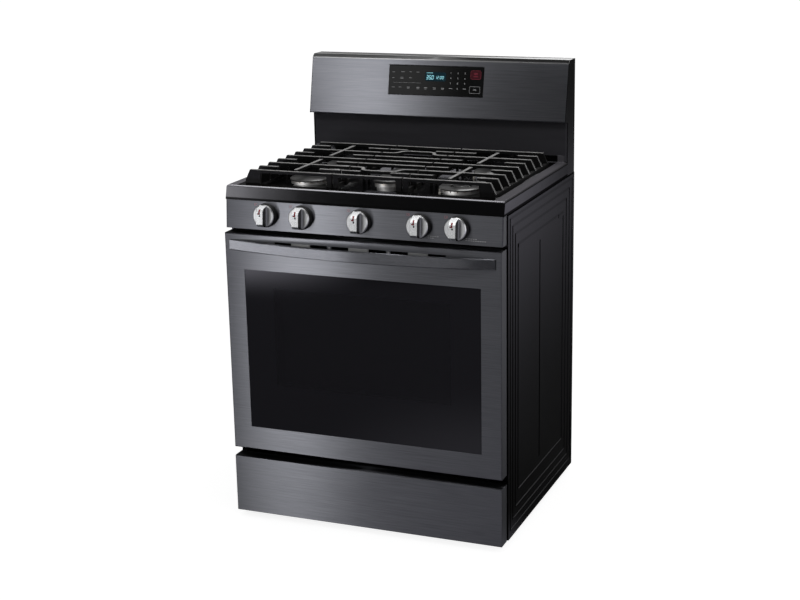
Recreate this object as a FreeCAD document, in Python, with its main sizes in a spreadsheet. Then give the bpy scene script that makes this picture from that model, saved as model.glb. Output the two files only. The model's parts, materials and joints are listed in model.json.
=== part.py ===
"""Freestanding gas range: sheet-metal body with oven, five sealed burners, backguard, door and drawer.

Frame: +X to the user's right, -Y towards the user, +Z up. The origin is on the floor, under the middle
of the range's bounding box. All sizes are millimetres.
"""
import FreeCAD, Part
import math
import os
import Sketcher
from FreeCAD import Placement, Rotation, Vector

doc = FreeCAD.newDocument("gas_range")
sheet = doc.addObject("Spreadsheet::Sheet", "Dims")

DRIVING = [
    ("body_width", 762.0, "outside of the side panels"),
    ("front_width", 757.0, "door, drawer and control panel"),
    ("door_face", -297.0, "front plane of door and drawer"),
    ("body_front", -251.0, "front edge of the side panels"),
    ("body_rear", 338.0, "back of the range"),
    ("base_height", 18.0, "underside of body and drawer front"),
    ("sheet_metal", 1.2, "thickness of the formed sheets"),
    ("skirt_bottom", 877.0, "joint between body and cooktop"),
    ("cooktop_top", 914.0, "rim of the cooktop"),
    ("overall_height", 1190.0, "top of the backguard"),
    ("drawer_height", 158.0, "drawer front"),
    ("front_depth", 40.0, "depth of the folded door and drawer fronts"),
    ("door_bottom", 200.0, "lower edge of the door"),
    ("door_height", 592.0, "door"),
    ("door_back", -255.0, "rear plane of the closed door"),
    ("window_half", 325.0, "half the width of the outer glass"),
    ("window_bottom", 264.0, "outer glass"),
    ("window_height", 433.0, "outer glass"),
    ("hinge_y", -262.0, "door hinge axis"),
    ("hinge_z", 220.0, "door hinge axis"),
    ("panel_bottom", 803.0, "control panel"),
    ("panel_height", 74.0, "control panel"),
    ("panel_front", -286.2, "lower front edge of the control panel"),
    ("panel_setback", 6.0, "how far the panel leans back over its height"),
    ("knob_height", 842.0, "knob axes on the panel's face"),
    ("knob_inner", 161.0, "inner pair of knobs from the middle"),
    ("knob_outer", 261.0, "outer pair of knobs from the middle"),
    ("knob_radius", 29.0, "grip body of a knob"),
    ("stem_radius", 5.0, "valve stem"),
    ("running_fit", 0.05, "radial clearance of stems and hinge pins"),
    ("apron_lean", 9.8, "how far the cooktop's apron leans back"),
    ("well_half", 350.0, "half the width of the cooktop's well at its rim"),
    ("well_front", -240.0, "front of the well at its rim"),
    ("well_rear", 228.0, "rear of the well at its rim"),
    ("well_floor", 888.0, "floor of the well"),
    ("grate_top", 949.0, "cooking plane"),
    ("grate_first_row", -229.3, "front bar of the grates"),
    ("grate_pitch", 54.7, "from bar to bar"),
    ("bar_width", 9.0, "grate bar"),
    ("bar_height", 8.0, "grate bar"),
    ("burner_side", 212.0, "side burners from the middle"),
    ("burner_front", -120.0, "front burners"),
    ("burner_back", 99.0, "rear burners"),
    ("crown_top", 909.5, "top of a burner's crown, where its cap lies"),
    ("cavity_half", 305.0, "half the oven's inner width"),
    ("cavity_bottom", 240.0, "oven liner, inside"),
    ("cavity_top", 700.0, "oven liner, inside"),
    ("cavity_rear", 262.0, "oven liner, inside"),
    ("opening_bottom", 262.0, "oven mouth"),
    ("box_half", 310.0, "half the drawer box's width"),
    ("handle_half", 364.0, "half the handle's span"),
    ("handle_bow", 39.5, "how far the handle bows out"),
    ("handle_bottom", 747.5, "lower edge of the handle"),
    ("handle_height", 28.0, "handle strap"),
    ("handle_thickness", 12.0, "handle strap"),
    ("guard_half", 379.5, "half the backguard's width"),
    ("guard_bottom", 1026.0, "lower edge of the leaning panel"),
    ("guard_front", 246.0, "lower front edge of the leaning panel"),
    ("display_half", 140.0, "half the display's width"),
]


class Size:
    """A number together with the expression that gives it from the sheet."""

    def __init__(self, value, text):
        self.value = value
        self.text = text

    def _join(self, other, sign, result):
        text = other.text if isinstance(other, Size) else repr(float(other))
        return Size(result, f"({self.text} {sign} {text})")

    def __add__(self, other):
        return self._join(other, "+", self.value + number(other))

    def __sub__(self, other):
        return self._join(other, "-", self.value - number(other))

    def __mul__(self, other):
        return self._join(other, "*", self.value * number(other))

    def __truediv__(self, other):
        return self._join(other, "/", self.value / number(other))

    __radd__ = __add__

    def __rsub__(self, other):
        return -self + other

    __rmul__ = __mul__

    def __neg__(self):
        return Size(-self.value, f"(0 - {self.text})")


def number(size):
    return size.value if isinstance(size, Size) else float(size)


class Dims:
    """The driving dimensions, written to the sheet and read as Size attributes."""

    def __init__(self, rows):
        for i, (alias, value, note) in enumerate(rows, start=1):
            sheet.set(f"A{i}", alias)
            sheet.set(f"B{i}", str(value))
            sheet.setAlias(f"B{i}", alias)
            sheet.set(f"C{i}", note)
            setattr(self, alias, Size(value, f"Dims.{alias}"))


D = Dims(DRIVING)
doc.recompute()


# ---------------------------------------------------------------- building blocks

def bind(obj, path, size):
    """Set a property from a Size, bound to the sheet, or from a plain number."""
    obj.setExpression(path, size.text if isinstance(size, Size) else repr(float(size)))


def new_body(label):
    body = doc.addObject("PartDesign::Body", label)
    body.Label = label
    return body


def sketch_on(body, role, offset=0.0):
    """Sketch on one of the body's origin planes, moved along the plane's normal by offset."""
    sketch = body.newObject("Sketcher::SketchObject", f"{body.Name}_sketch")
    plane = next(f for f in body.Origin.OriginFeatures if f.Role == role)
    sketch.AttachmentSupport = (plane, [""])
    sketch.MapMode = "FlatFace"
    bind(sketch, "AttachmentOffset.Base.z", offset)
    return sketch


def constrain(sketch, kind, *where, size):
    """Add a dimension to the sketch, bound to the sheet where its size comes from there."""
    index = sketch.addConstraint(Sketcher.Constraint(kind, *where, number(size)))
    if isinstance(size, Size):
        sketch.setExpression(f"Constraints[{index}]", size.text)


def place_point(sketch, geometry, position, x, y):
    """Fix one point of the sketch at x, y from the sketch's origin."""
    constrain(sketch, "DistanceX", -1, 1, geometry, position, size=x)
    constrain(sketch, "DistanceY", -1, 1, geometry, position, size=y)


def polygon(sketch, points):
    """Closed outline of straight edges through the given points."""
    corners = [Vector(number(x), number(y), 0) for x, y in points]
    first = sketch.GeometryCount
    count = len(corners)
    for i, corner in enumerate(corners):
        sketch.addGeometry(Part.LineSegment(corner, corners[(i + 1) % count]), False)
    for i in range(count):
        sketch.addConstraint(Sketcher.Constraint("Coincident", first + i, 2, first + (i + 1) % count, 1))
    for i, (x, y) in enumerate(points):
        place_point(sketch, first + i, 1, x, y)
    return sketch


def rectangle(sketch, x, y):
    """Rectangle between a (low, high) pair across and a (low, high) pair up."""
    return polygon(sketch, [(x[0], y[0]), (x[1], y[0]), (x[1], y[1]), (x[0], y[1])])


def arc(sketch, centre, radius, start, end):
    """Arc of a circle between two angles in degrees, counter-clockwise."""
    whole = Part.Circle(Vector(*centre, 0), Vector(0, 0, 1), radius)
    return sketch.addGeometry(Part.ArcOfCircle(whole, math.radians(start), math.radians(end)), False)


def rounded_rectangle(sketch, x, y, radius):
    """Rectangle whose four corners are tangent arcs of one radius."""
    x0, x1, y0, y1 = (number(v) for v in (*x, *y))
    r = radius
    first = sketch.GeometryCount
    flats = [((x0 + r, y0), (x1 - r, y0)), ((x1, y0 + r), (x1, y1 - r)),
             ((x1 - r, y1), (x0 + r, y1)), ((x0, y1 - r), (x0, y0 + r))]
    for start, end in flats:
        sketch.addGeometry(Part.LineSegment(Vector(*start, 0), Vector(*end, 0)), False)
    centres = [(x1 - r, y0 + r), (x1 - r, y1 - r), (x0 + r, y1 - r), (x0 + r, y0 + r)]
    for quarter, centre in enumerate(centres):
        arc(sketch, centre, r, 90 * quarter - 90, 90 * quarter)
    for i in range(4):
        corner, following = first + 4 + i, first + (i + 1) % 4
        sketch.addConstraint(Sketcher.Constraint("Tangent", first + i, 2, corner, 1))
        sketch.addConstraint(Sketcher.Constraint("Tangent", corner, 2, following, 1))
        sketch.addConstraint(Sketcher.Constraint("Vertical" if i % 2 else "Horizontal", first + i))
        constrain(sketch, "Radius", corner, size=r)
    for kind, line, size in (("DistanceX", 3, x[0]), ("DistanceX", 1, x[1]),
                             ("DistanceY", 0, y[0]), ("DistanceY", 2, y[1])):
        constrain(sketch, kind, -1, 1, first + line, 1, size=size)
    return sketch


def circle(sketch, x, y, radius):
    round_edge = Part.Circle(Vector(number(x), number(y), 0), Vector(0, 0, 1), number(radius))
    index = sketch.addGeometry(round_edge, False)
    place_point(sketch, index, 3, x, y)
    constrain(sketch, "Radius", index, size=radius)
    return sketch


def stadium(sketch, radius, half_run):
    """Oval of two half circles joined by straight flanks, long in the sketch's Y."""
    sketch.addGeometry(Part.LineSegment(Vector(-radius, half_run, 0), Vector(-radius, -half_run, 0)), False)
    arc(sketch, (0, -half_run), radius, 180, 360)
    sketch.addGeometry(Part.LineSegment(Vector(radius, -half_run, 0), Vector(radius, half_run, 0)), False)
    arc(sketch, (0, half_run), radius, 0, 180)
    for i in range(4):
        sketch.addConstraint(Sketcher.Constraint("Tangent", i, 2, (i + 1) % 4, 1))
    constrain(sketch, "Radius", 1, size=radius)
    place_point(sketch, 1, 3, 0.0, -half_run)
    place_point(sketch, 3, 3, 0.0, half_run)
    return sketch


def pad(body, sketch, length, towards_normal=True, both_sides=False):
    feature = body.newObject("PartDesign::Pad", f"{body.Name}_pad")
    feature.Profile = sketch
    feature.Reversed = not towards_normal
    feature.Midplane = both_sides
    bind(feature, "Length", length)
    doc.recompute()
    return feature


def pocket(body, sketch, depth, against_normal=True, taper=0.0):
    """Cut the sketch's outline out of the body, and make sure that it takes something away."""
    before = body.Shape.Volume
    feature = body.newObject("PartDesign::Pocket", f"{body.Name}_pocket")
    feature.Profile = sketch
    feature.Reversed = not against_normal
    feature.TaperAngle = taper
    bind(feature, "Length", depth)
    doc.recompute()
    if body.Shape.Volume > before - 1e-3:
        raise RuntimeError(f"{body.Label}: a pocket cuts nothing")
    return feature


def revolve(body, points):
    """Turn a closed profile of (radius, height) points about the body's Z axis."""
    sketch = polygon(sketch_on(body, "XZ_Plane"), points)
    feature = body.newObject("PartDesign::Revolution", f"{body.Name}_revolution")
    feature.Profile = sketch
    feature.ReferenceAxis = (sketch, ["V_Axis"])
    feature.Angle = 360
    doc.recompute()
    return feature


def polar(body, original, count):
    """Repeat a feature round its own sketch's normal."""
    pattern = body.newObject("PartDesign::PolarPattern", f"{body.Name}_polar")
    pattern.Originals = [original]
    pattern.Axis = (original.Profile[0], ["N_Axis"])
    pattern.Angle = 360
    pattern.Occurrences = count
    body.Tip = pattern
    doc.recompute()
    return pattern


def linear(body, original, pitch, count, direction="N_Axis", backwards=False):
    """Repeat a feature along one axis of its own sketch."""
    pattern = body.newObject("PartDesign::LinearPattern", f"{body.Name}_linear")
    pattern.Originals = [original]
    pattern.Direction = (original.Profile[0], [direction])
    pattern.Reversed = backwards
    pattern.Occurrences = count
    bind(pattern, "Length", pitch * (count - 1))
    body.Tip = pattern
    doc.recompute()
    return pattern


def round_edges(body, radius, chosen):
    """Fillet the edges of the body for which chosen(edge) holds."""
    names = [f"Edge{i}" for i, edge in enumerate(body.Shape.Edges, start=1) if chosen(edge)]
    if not names:
        raise RuntimeError(f"{body.Label}: no edge to round")
    base = body.Tip
    feature = body.newObject("PartDesign::Fillet", f"{body.Name}_edges")
    feature.Base = (base, names)
    feature.Radius = radius
    doc.recompute()
    return feature


def lies_in(edge, side, value):
    """Whether all ends of an edge have the given coordinate: side is x, y or z."""
    return all(abs(getattr(v.Point, side) - number(value)) < 1e-4 for v in edge.Vertexes)


def runs_along(edge, direction):
    """Whether an edge is straight and parallel to a direction."""
    ends = [v.Point for v in edge.Vertexes]
    if len(ends) != 2 or not isinstance(edge.Curve, Part.Line):
        return False
    return abs(abs((ends[1] - ends[0]).normalize().dot(direction)) - 1) < 1e-6


def hollow(body, opened, thickness):
    """Turn the body into a sheet-metal shell that lacks its flat faces with a normal in opened."""
    names = []
    for i, face in enumerate(body.Shape.Faces, start=1):
        u0, u1, v0, v1 = face.ParameterRange
        normal = face.normalAt((u0 + u1) / 2, (v0 + v1) / 2)
        if isinstance(face.Surface, Part.Plane) and any((normal - way).Length < 1e-4 for way in opened):
            names.append(f"Face{i}")
    base = body.Tip
    feature = body.newObject("PartDesign::Thickness", f"{body.Name}_thickness")
    feature.Base = (base, names)
    feature.Reversed = True
    bind(feature, "Value", thickness)
    doc.recompute()
    return feature


def block(name, x, y, z):
    """Part::Box between a (low, high) pair on each axis."""
    solid = doc.addObject("Part::Box", name)
    for (low, high), length, side in ((x, "Length", "x"), (y, "Width", "y"), (z, "Height", "z")):
        bind(solid, length, high - low)
        bind(solid, f"Placement.Base.{side}", low)
    return solid


def rod(name, start, end, radius):
    """Part::Cylinder from one point to another."""
    start, end = (Vector(*(number(v) for v in point)) for point in (start, end))
    solid = doc.addObject("Part::Cylinder", name)
    bind(solid, "Radius", radius)
    solid.Height = (end - start).Length
    solid.Placement = Placement(start, Rotation(Vector(0, 0, 1), end - start))
    return solid


def union(label, solids):
    joined = doc.addObject("Part::MultiFuse", label)
    joined.Shapes = solids
    joined.Refine = True
    return joined


def difference(label, base, tool):
    cut = doc.addObject("Part::Cut", label)
    cut.Base = base
    cut.Tool = tool
    return cut


def together(label, pieces):
    """Separate solids that share one node."""
    node = doc.addObject("Part::Compound", label)
    node.Links = pieces
    return node


def shape_node(label, shape):
    """Part::Feature for a form that follows a path through space."""
    node = doc.addObject("Part::Feature", label)
    node.Shape = shape
    return node


X, Y, Z = Vector(1, 0, 0), Vector(0, 1, 0), Vector(0, 0, 1)
SIDES = (("left", -1), ("right", 1))
T = D.sheet_metal
HALF = D.body_width / 2
FRONT_HALF = D.front_width / 2
FRAME_FACE = D.body_front + T
FRAME_HALF = HALF - 4.0
BACK = D.body_rear - 2.0


# ---------------------------------------------------------------- body shell

def side_panel(name, side):
    """Outer side sheet: returned edges, four nested pressed steps and a long crease."""
    body = new_body(f"side_panel_{name}")
    top, bottom, front = D.skirt_bottom, D.base_height, D.body_front
    outer = HALF * side
    inward = side < 0
    pad(body, rectangle(sketch_on(body, "YZ_Plane", outer), (front, BACK), (bottom, top)), T, inward)

    step, wall = 1.2, 1.2
    for k, (edge, lower, upper) in enumerate([(17.0, 22.0, 13.0), (41.0, 44.0, 36.0), (66.0, 68.0, 61.0)]):
        level = outer - step * k * side
        y, z = (front + edge, BACK - edge), (bottom + lower, top - upper)
        grown = rectangle(sketch_on(body, "YZ_Plane", level),
                          (y[0] - wall, y[1] + wall), (z[0] - wall, z[1] + wall))
        pad(body, grown, T + step, inward)
        pocket(body, rectangle(sketch_on(body, "YZ_Plane", level), y, z), step, not inward)

    def notched(sketch, grow):
        near, far, low, high = front + 92.0 - grow, BACK - 92.0 + grow, 125.0 - grow, 784.0 + grow
        return polygon(sketch, [(near, low), (far, low), (far, high - 11.0), (far - 42.0, high - 11.0),
                                (far - 42.0, high), (near + 42.0, high), (near + 42.0, high - 11.0),
                                (near, high - 11.0)])

    level = outer - step * 3 * side
    pad(body, notched(sketch_on(body, "YZ_Plane", level), wall), T + step, inward)
    pocket(body, notched(sketch_on(body, "YZ_Plane", level), 0.0), step, not inward)
    level = outer - step * 4 * side
    crease = rectangle(sketch_on(body, "YZ_Plane", level), (26.0, 34.0), (148.0, 753.0))
    pad(body, crease, T + step, inward)
    crease = rectangle(sketch_on(body, "YZ_Plane", level), (27.2, 32.8), (149.2, 751.8))
    pocket(body, crease, step, not inward)

    returned = (HALF - 14.0, HALF - 0.6) if side > 0 else (0.6 - HALF, 14.0 - HALF)
    lower_front = rectangle(sketch_on(body, "XZ_Plane", -front), returned, (bottom, 178.0))
    pad(body, lower_front, T, False)
    upper_front = rectangle(sketch_on(body, "XZ_Plane", -front), returned, (230.0, top))
    pad(body, upper_front, T, False)
    pad(body, rectangle(sketch_on(body, "XZ_Plane", -BACK), returned, (bottom, top)), T)
    pad(body, rectangle(sketch_on(body, "XY_Plane", top), returned, (front, BACK)), T, False)
    pad(body, rectangle(sketch_on(body, "XY_Plane", bottom), returned, (front, BACK)), T)
    return body


def rear_panel():
    """Flat back sheet with the gas inlet's cut-out and a row of vent slots."""
    body = new_body("rear_panel")
    plane = -D.body_rear
    sheet_edge = HALF - 1.5
    outline = rectangle(sketch_on(body, "XZ_Plane", plane),
                        (-sheet_edge, sheet_edge), (D.base_height, D.skirt_bottom))
    pad(body, outline, D.body_rear - BACK)
    inlet = rounded_rectangle(sketch_on(body, "XZ_Plane", plane), (238.0, 322.0), (60.0, 140.0), 12.0)
    pocket(body, inlet, 4.0, False)
    slot = rounded_rectangle(sketch_on(body, "XZ_Plane", plane), (-250.0, -180.0), (770.0, 777.0), 3.4)
    linear(body, pocket(body, slot, 4.0, False), 86.0, 6, "H_Axis")
    return body


LEG_X, LEG_Y = 338.0, (-196.0, 272.0)


def base_frame():
    """Channel under each side, joined front and rear, with a nut for every leg."""
    body = new_body("base_frame")
    low = D.base_height + T
    front, rear = FRAME_FACE, BACK - T
    outer, inner, wall = HALF - T, 318.0, 1.8
    cross = rectangle(sketch_on(body, "XY_Plane", low), (-inner - 1.0, inner + 1.0), (front, front + 16.0))
    pad(body, cross, 8.0)
    for _, side in SIDES:
        outline = [(inner, low), (outer, low), (outer, 38.0), (outer - wall, 38.0),
                   (outer - wall, low + wall),
                   (inner + wall, low + wall), (inner + wall, 110.0), (inner, 110.0)]
        channel = polygon(sketch_on(body, "XZ_Plane", -front), [(x * side, z) for x, z in outline])
        pad(body, channel, rear - front, False)
    cross = rectangle(sketch_on(body, "XY_Plane", low), (-inner - 1.0, inner + 1.0), (rear - 34.0, rear))
    pad(body, cross, 8.0)
    nuts, bores = sketch_on(body, "XY_Plane", low), sketch_on(body, "XY_Plane", low + 11.0)
    for x in (-LEG_X, LEG_X):
        for y in LEG_Y:
            circle(nuts, x, y, 10.0)
            circle(bores, x, y, 5.0)
    pad(body, nuts, 11.0)
    pocket(body, bores, 12.0)
    return body


def leveling_legs():
    """Four threaded legs, each a stem on a broad foot."""
    legs = []
    for x in (-LEG_X, LEG_X):
        for y in LEG_Y:
            leg = new_body(f"leg_{len(legs)}")
            revolve(leg, [(0, 0), (17.0, 0), (17.0, 4.0), (13.0, 9.0), (5.0, 9.0), (5.0, 38.0), (0, 38.0)])
            leg.Placement.Base = Vector(x, y, 0)
            legs.append(leg)
    return together("leveling_legs", legs)


# ---------------------------------------------------------------- oven

LEDGES = (330.0, 400.0, 470.0, 540.0, 610.0)


def oven_cavity():
    """Enamelled liner: a rounded tub, open to the front, with five rack ledges on each side."""
    body = new_body("oven_cavity")
    mouth, rear = FRAME_FACE + T, D.cavity_rear + T
    outline = rounded_rectangle(sketch_on(body, "XZ_Plane", -mouth), (-D.cavity_half - T, D.cavity_half + T),
                                (D.cavity_bottom - T, D.cavity_top + T), 22.0)
    pad(body, outline, rear - mouth, False)
    round_edges(body, 16.0, lambda e: lies_in(e, "y", rear))
    hollow(body, [-Y], T)
    inner, reach = D.cavity_half + 0.6, D.cavity_half - 9.0
    ledges = sketch_on(body, "XZ_Plane", 232.0)
    for level in LEDGES:
        rectangle(ledges, (-inner, -reach), (level - 5.0, level))
        rectangle(ledges, (reach, inner), (level - 5.0, level))
    pad(body, ledges, 470.0, False)
    return body


HINGE_X = 350.0


def oven_front_frame():
    """Chassis front sheet, folded back at the bottom so that the door's lower edge can swing past."""
    body = new_body("oven_front_frame")
    recess, low, fold, top = -236.0, 178.0, 230.0, 801.0
    profile = polygon(sketch_on(body, "YZ_Plane"),
                      [(FRAME_FACE, top), (FRAME_FACE, fold), (recess, fold), (recess, low), (-220.0, low),
                       (-220.0, T + low), (T + recess, T + low), (T + recess, T + fold),
                       (FRAME_FACE + T, T + fold), (FRAME_FACE + T, top - T), (-225.0, top - T), (-225.0, top)])
    pad(body, profile, FRAME_HALF * 2, both_sides=True)
    mouth = rounded_rectangle(sketch_on(body, "XZ_Plane", -FRAME_FACE), (-D.cavity_half, D.cavity_half),
                              (D.opening_bottom, D.cavity_top), 20.0)
    pocket(body, mouth, 3.0)
    slots = sketch_on(body, "XZ_Plane", 240.0)
    for _, side in SIDES:
        rectangle(slots, (side * HINGE_X - 5.0, side * HINGE_X + 5.0), (211.0, 225.6))
    pocket(body, slots, 8.0)
    return body


def tube_along(body, spine, section):
    """Sweep a round section along a closed rounded outline."""
    tube = body.newObject("PartDesign::AdditivePipe", f"{body.Name}_tube")
    tube.Profile = section
    tube.Spine = (spine, [f"Edge{i}" for i in range(1, spine.GeometryCount + 1)])
    doc.recompute()


def oven_gasket():
    """Round heat seal that runs round the oven's mouth."""
    body = new_body("oven_gasket")
    radius, low = 2.3, 247.0
    spine = rounded_rectangle(sketch_on(body, "XZ_Plane", radius - FRAME_FACE),
                              (-322.0, 322.0), (low, 716.0), 26.0)
    tube_along(body, spine, circle(sketch_on(body, "YZ_Plane"), FRAME_FACE - radius, low, radius))
    return body


def oven_rack(name, ledge):
    """Wire rack: a looped frame that lies on two ledges, with cross wires and a stiffener."""
    body = new_body(name)
    thick, thin, count = 3.0, 1.9, 15
    side, front, rear = 300.5, -226.0, 232.0
    z = thick + ledge
    spine = rounded_rectangle(sketch_on(body, "XY_Plane", z), (-side, side), (front, rear), 14.0)
    tube_along(body, spine, circle(sketch_on(body, "YZ_Plane"), front, z, thick))
    pitch = 2 * side / (count + 1)
    wires = sketch_on(body, "XZ_Plane", -front)
    for i in range(count):
        circle(wires, pitch * (i + 1) - side, z, thin)
    pad(body, wires, rear - front, False)
    pad(body, circle(sketch_on(body, "YZ_Plane"), 12.0, z, thick - 0.4), 2 * side, both_sides=True)
    return body


def oven_floor():
    """Lift-out oven bottom: an upturned tray with heat slots along both sides."""
    body = new_body("oven_floor")
    outline = rectangle(sketch_on(body, "XY_Plane", D.cavity_bottom), (-282.0, 282.0), (-240.0, 240.0))
    pad(body, outline, 28.0)
    round_edges(body, 18.0, lambda e: runs_along(e, Z) and lies_in(e, "y", -240.0))
    hollow(body, [-Z, Y], T)
    slots = sketch_on(body, "XY_Plane", D.cavity_bottom + 28.0)
    for side in (-256.0, 256.0):
        rounded_rectangle(slots, (side - 5.0, side + 5.0), (-190.0, -160.0), 4.5)
    linear(body, pocket(body, slots, 3.0), 44.0, 9, "V_Axis")
    return body


def bake_burner():
    """Burner tube under the oven floor, on two feet."""
    z, low = 253.0, D.cavity_bottom
    tube = rod("bake_tube", (0, -170, z), (0, 246, z), 9.0)
    feet = [block(f"bake_foot_{i}", (-8.0, 8.0), (y, y + 12.0), (low, low + 8.0))
            for i, y in enumerate((-160.0, 200.0))]
    return union("bake_burner", [tube, *feet])


def broil_burner():
    """Broiler tube below a shallow roof-shaped spreader that hangs from the oven's ceiling."""
    spreader = new_body("broil_spreader")
    half, eaves, ridge, gauge, tube_z = 105.0, 671.5, 681.0, 1.4, 671.0
    under = [(-half, eaves), (-12.0, ridge), (12.0, ridge), (half, eaves)]
    roof = polygon(sketch_on(spreader, "XZ_Plane", 190.0), under + [(x, z + gauge) for x, z in under[::-1]])
    pad(spreader, roof, 400.0, False)
    tube = rod("broil_tube", (0, -180, tube_z), (0, D.cavity_rear, tube_z), 10.5)
    hangers = [block(f"broil_hanger_{i}", (-8.0, 8.0), (y, y + 1.5), (ridge + 0.5, D.cavity_top))
               for i, y in enumerate((-150.0, 150.0))]
    return union("broil_burner", [spreader, tube, *hangers])


def oven_light():
    """Domed lamp glass in a round collar on the oven's rear wall."""
    body = new_body("oven_light")
    revolve(body, [(0, 0), (31.0, 0), (31.0, 5.0), (25.0, 7.0), (25.0, 14.0),
                   (21.0, 22.0), (12.0, 27.0), (0, 28.5)])
    body.Placement = Placement(Vector(-205.0, number(D.cavity_rear), 645.0), Rotation(X, 90))
    return body


# ---------------------------------------------------------------- control panel and gas train

PLACES = ("left_front", "left_rear", "center", "right_rear", "right_front")
KNOB_X = (-D.knob_outer, -D.knob_inner, 0.0, D.knob_inner, D.knob_outer)
LEAN = math.degrees(math.atan2(number(D.panel_setback), number(D.panel_height)))
KNOB_Y = number(D.panel_front) + number(D.knob_height - D.panel_bottom) * math.tan(math.radians(LEAN))


def on_panel(x, rise=0.0):
    """Placement of a piece whose own Z axis stands square on the control panel's face."""
    turn = Rotation(X, 90 - LEAN)
    return Placement(Vector(number(x), KNOB_Y, number(D.knob_height)) + turn.multVec(Z * rise), turn)


def control_panel():
    """Leaning front sheet with returned edges and a hole for each valve stem."""
    body = new_body("control_panel")
    low, high = D.panel_bottom, D.panel_bottom + D.panel_height
    front = D.panel_front
    profile = polygon(sketch_on(body, "YZ_Plane"),
                      [(front, low), (front + D.panel_setback, high),
                       (D.body_front, high), (D.body_front, low)])
    pad(body, profile, D.front_width, both_sides=True)
    upright = (Y * number(D.panel_setback) + Z * number(D.panel_height)).normalize()
    round_edges(body, 3.0, lambda e: runs_along(e, upright))
    hollow(body, [Y], T)
    holes = sketch_on(body, "XZ_Plane", 290.0)
    for x in KNOB_X:
        circle(holes, x, D.knob_height, 8.0)
    pocket(body, holes, 20.0)
    return body


SUPPLY_X, PIPE_Y, PIPE_Z = 345.0, -212.0, 838.0


def gas_manifold():
    """Supply pipe across the range with five taps, hung from both side panels' top edges."""
    y, z, reach = PIPE_Y, PIPE_Z, 370.0
    pieces = [rod("manifold_pipe", (-reach, y, z), (reach, y, z), 9.5)]
    for place, x in zip(PLACES, KNOB_X):
        tap = new_body(f"tap_{place}")
        pad(tap, circle(sketch_on(tap, "XY_Plane", -62.0), 0, 0, 15.0), 46.0)
        bore = circle(sketch_on(tap, "XY_Plane", -16.0), 0, 0, D.stem_radius + D.running_fit)
        pocket(tap, bore, 34.0)
        tap.Placement = on_panel(x)
        pieces += [tap, block(f"tap_saddle_{place}", (x - 9.0, x + 9.0), (y - 16.0, y), (z - 9.0, z + 9.0))]
    pieces.append(rod("manifold_inlet", (SUPPLY_X, y, z - 16.0), (SUPPLY_X, y, z), 9.5))
    for name, side in SIDES:
        across = (HALF - 14.0, HALF - 5.0) if side > 0 else (5.0 - HALF, 14.0 - HALF)
        height = (z - 20.0, D.skirt_bottom - T)
        pieces.append(block(f"manifold_end_{name}", across, (y - 14.0, y + 14.0), height))
    return union("gas_manifold", pieces)


REGULATOR = (280.0, 284.0, 100.0)
INLET_MOUTH = 335.0


def gas_regulator():
    """Pressure regulator on a bracket behind the drawer, its inlet facing the back panel's cut-out."""
    x, y, z = REGULATOR
    body = new_body("regulator_body")
    revolve(body, [(0, -18.0), (24.0, -18.0), (27.0, -15.0), (27.0, 2.0), (31.0, 2.0), (31.0, 6.0),
                   (24.0, 14.0), (14.0, 17.0), (14.0, 34.0), (0, 34.0)])
    body.Placement.Base = Vector(x, y, z)
    inlet = rod("regulator_inlet", (x, y + 20, z - 8), (x, INLET_MOUTH, z - 8), 13.0)
    plate = block("regulator_plate", (x - 54.0, x), (y, y + 3.0), (z - 16.0, z + 4.0))
    flange = block("regulator_flange", (x - 54.0, x - 51.0), (y, BACK), (z - 16.0, z + 4.0))
    solid = union("regulator_solid", [body, inlet, plate, flange])
    bore = rod("inlet_bore", (x, INLET_MOUTH - 16.0, z - 8), (x, INLET_MOUTH + 1.0, z - 8), 9.4)
    return difference("gas_regulator", solid, bore)


def bent_path(corners, bend):
    """Straight runs joined by tangent quarter arcs at right-angled corners."""
    edges = []
    start = corners[0]
    for before, corner, after in zip(corners, corners[1:], corners[2:]):
        arriving, leaving = (corner - before).normalize(), (after - corner).normalize()
        first, last = corner - arriving * bend, corner + leaving * bend
        middle = corner + (leaving - arriving).normalize() * (bend * (math.sqrt(2) - 1))
        edges.append(Part.LineSegment(start, first).toShape())
        edges.append(Part.Arc(first, middle, last).toShape())
        start = last
    edges.append(Part.LineSegment(start, corners[-1]).toShape())
    return Part.Wire(edges)


def gas_supply_tube():
    """Tube from the regulator up behind the oven, then forward above it to the manifold."""
    x, y, z = REGULATOR
    level = 770.0
    corners = [Vector(x, y, z + 34), Vector(x, y, level), Vector(SUPPLY_X, y, level),
               Vector(SUPPLY_X, PIPE_Y, level), Vector(SUPPLY_X, PIPE_Y, PIPE_Z - 16)]
    section = Part.Wire(Part.makeCircle(6.0, corners[0], Z))
    return shape_node("gas_supply_tube", bent_path(corners, 28.0).makePipeShell([section], True, True))


def valve_stem(place, x):
    """Turning stem of a tap: round in its bore, with a flat where the knob sits."""
    body = new_body(f"valve_stem_{place}")
    pad(body, circle(sketch_on(body, "XY_Plane", -48.0), 0, 0, D.stem_radius), 64.0)
    flat = rectangle(sketch_on(body, "XY_Plane", 16.0), (-6.0, 6.0), (D.stem_radius - 1.6, 6.0))
    pocket(body, flat, 17.0)
    body.Placement = on_panel(x)
    return body


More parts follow.
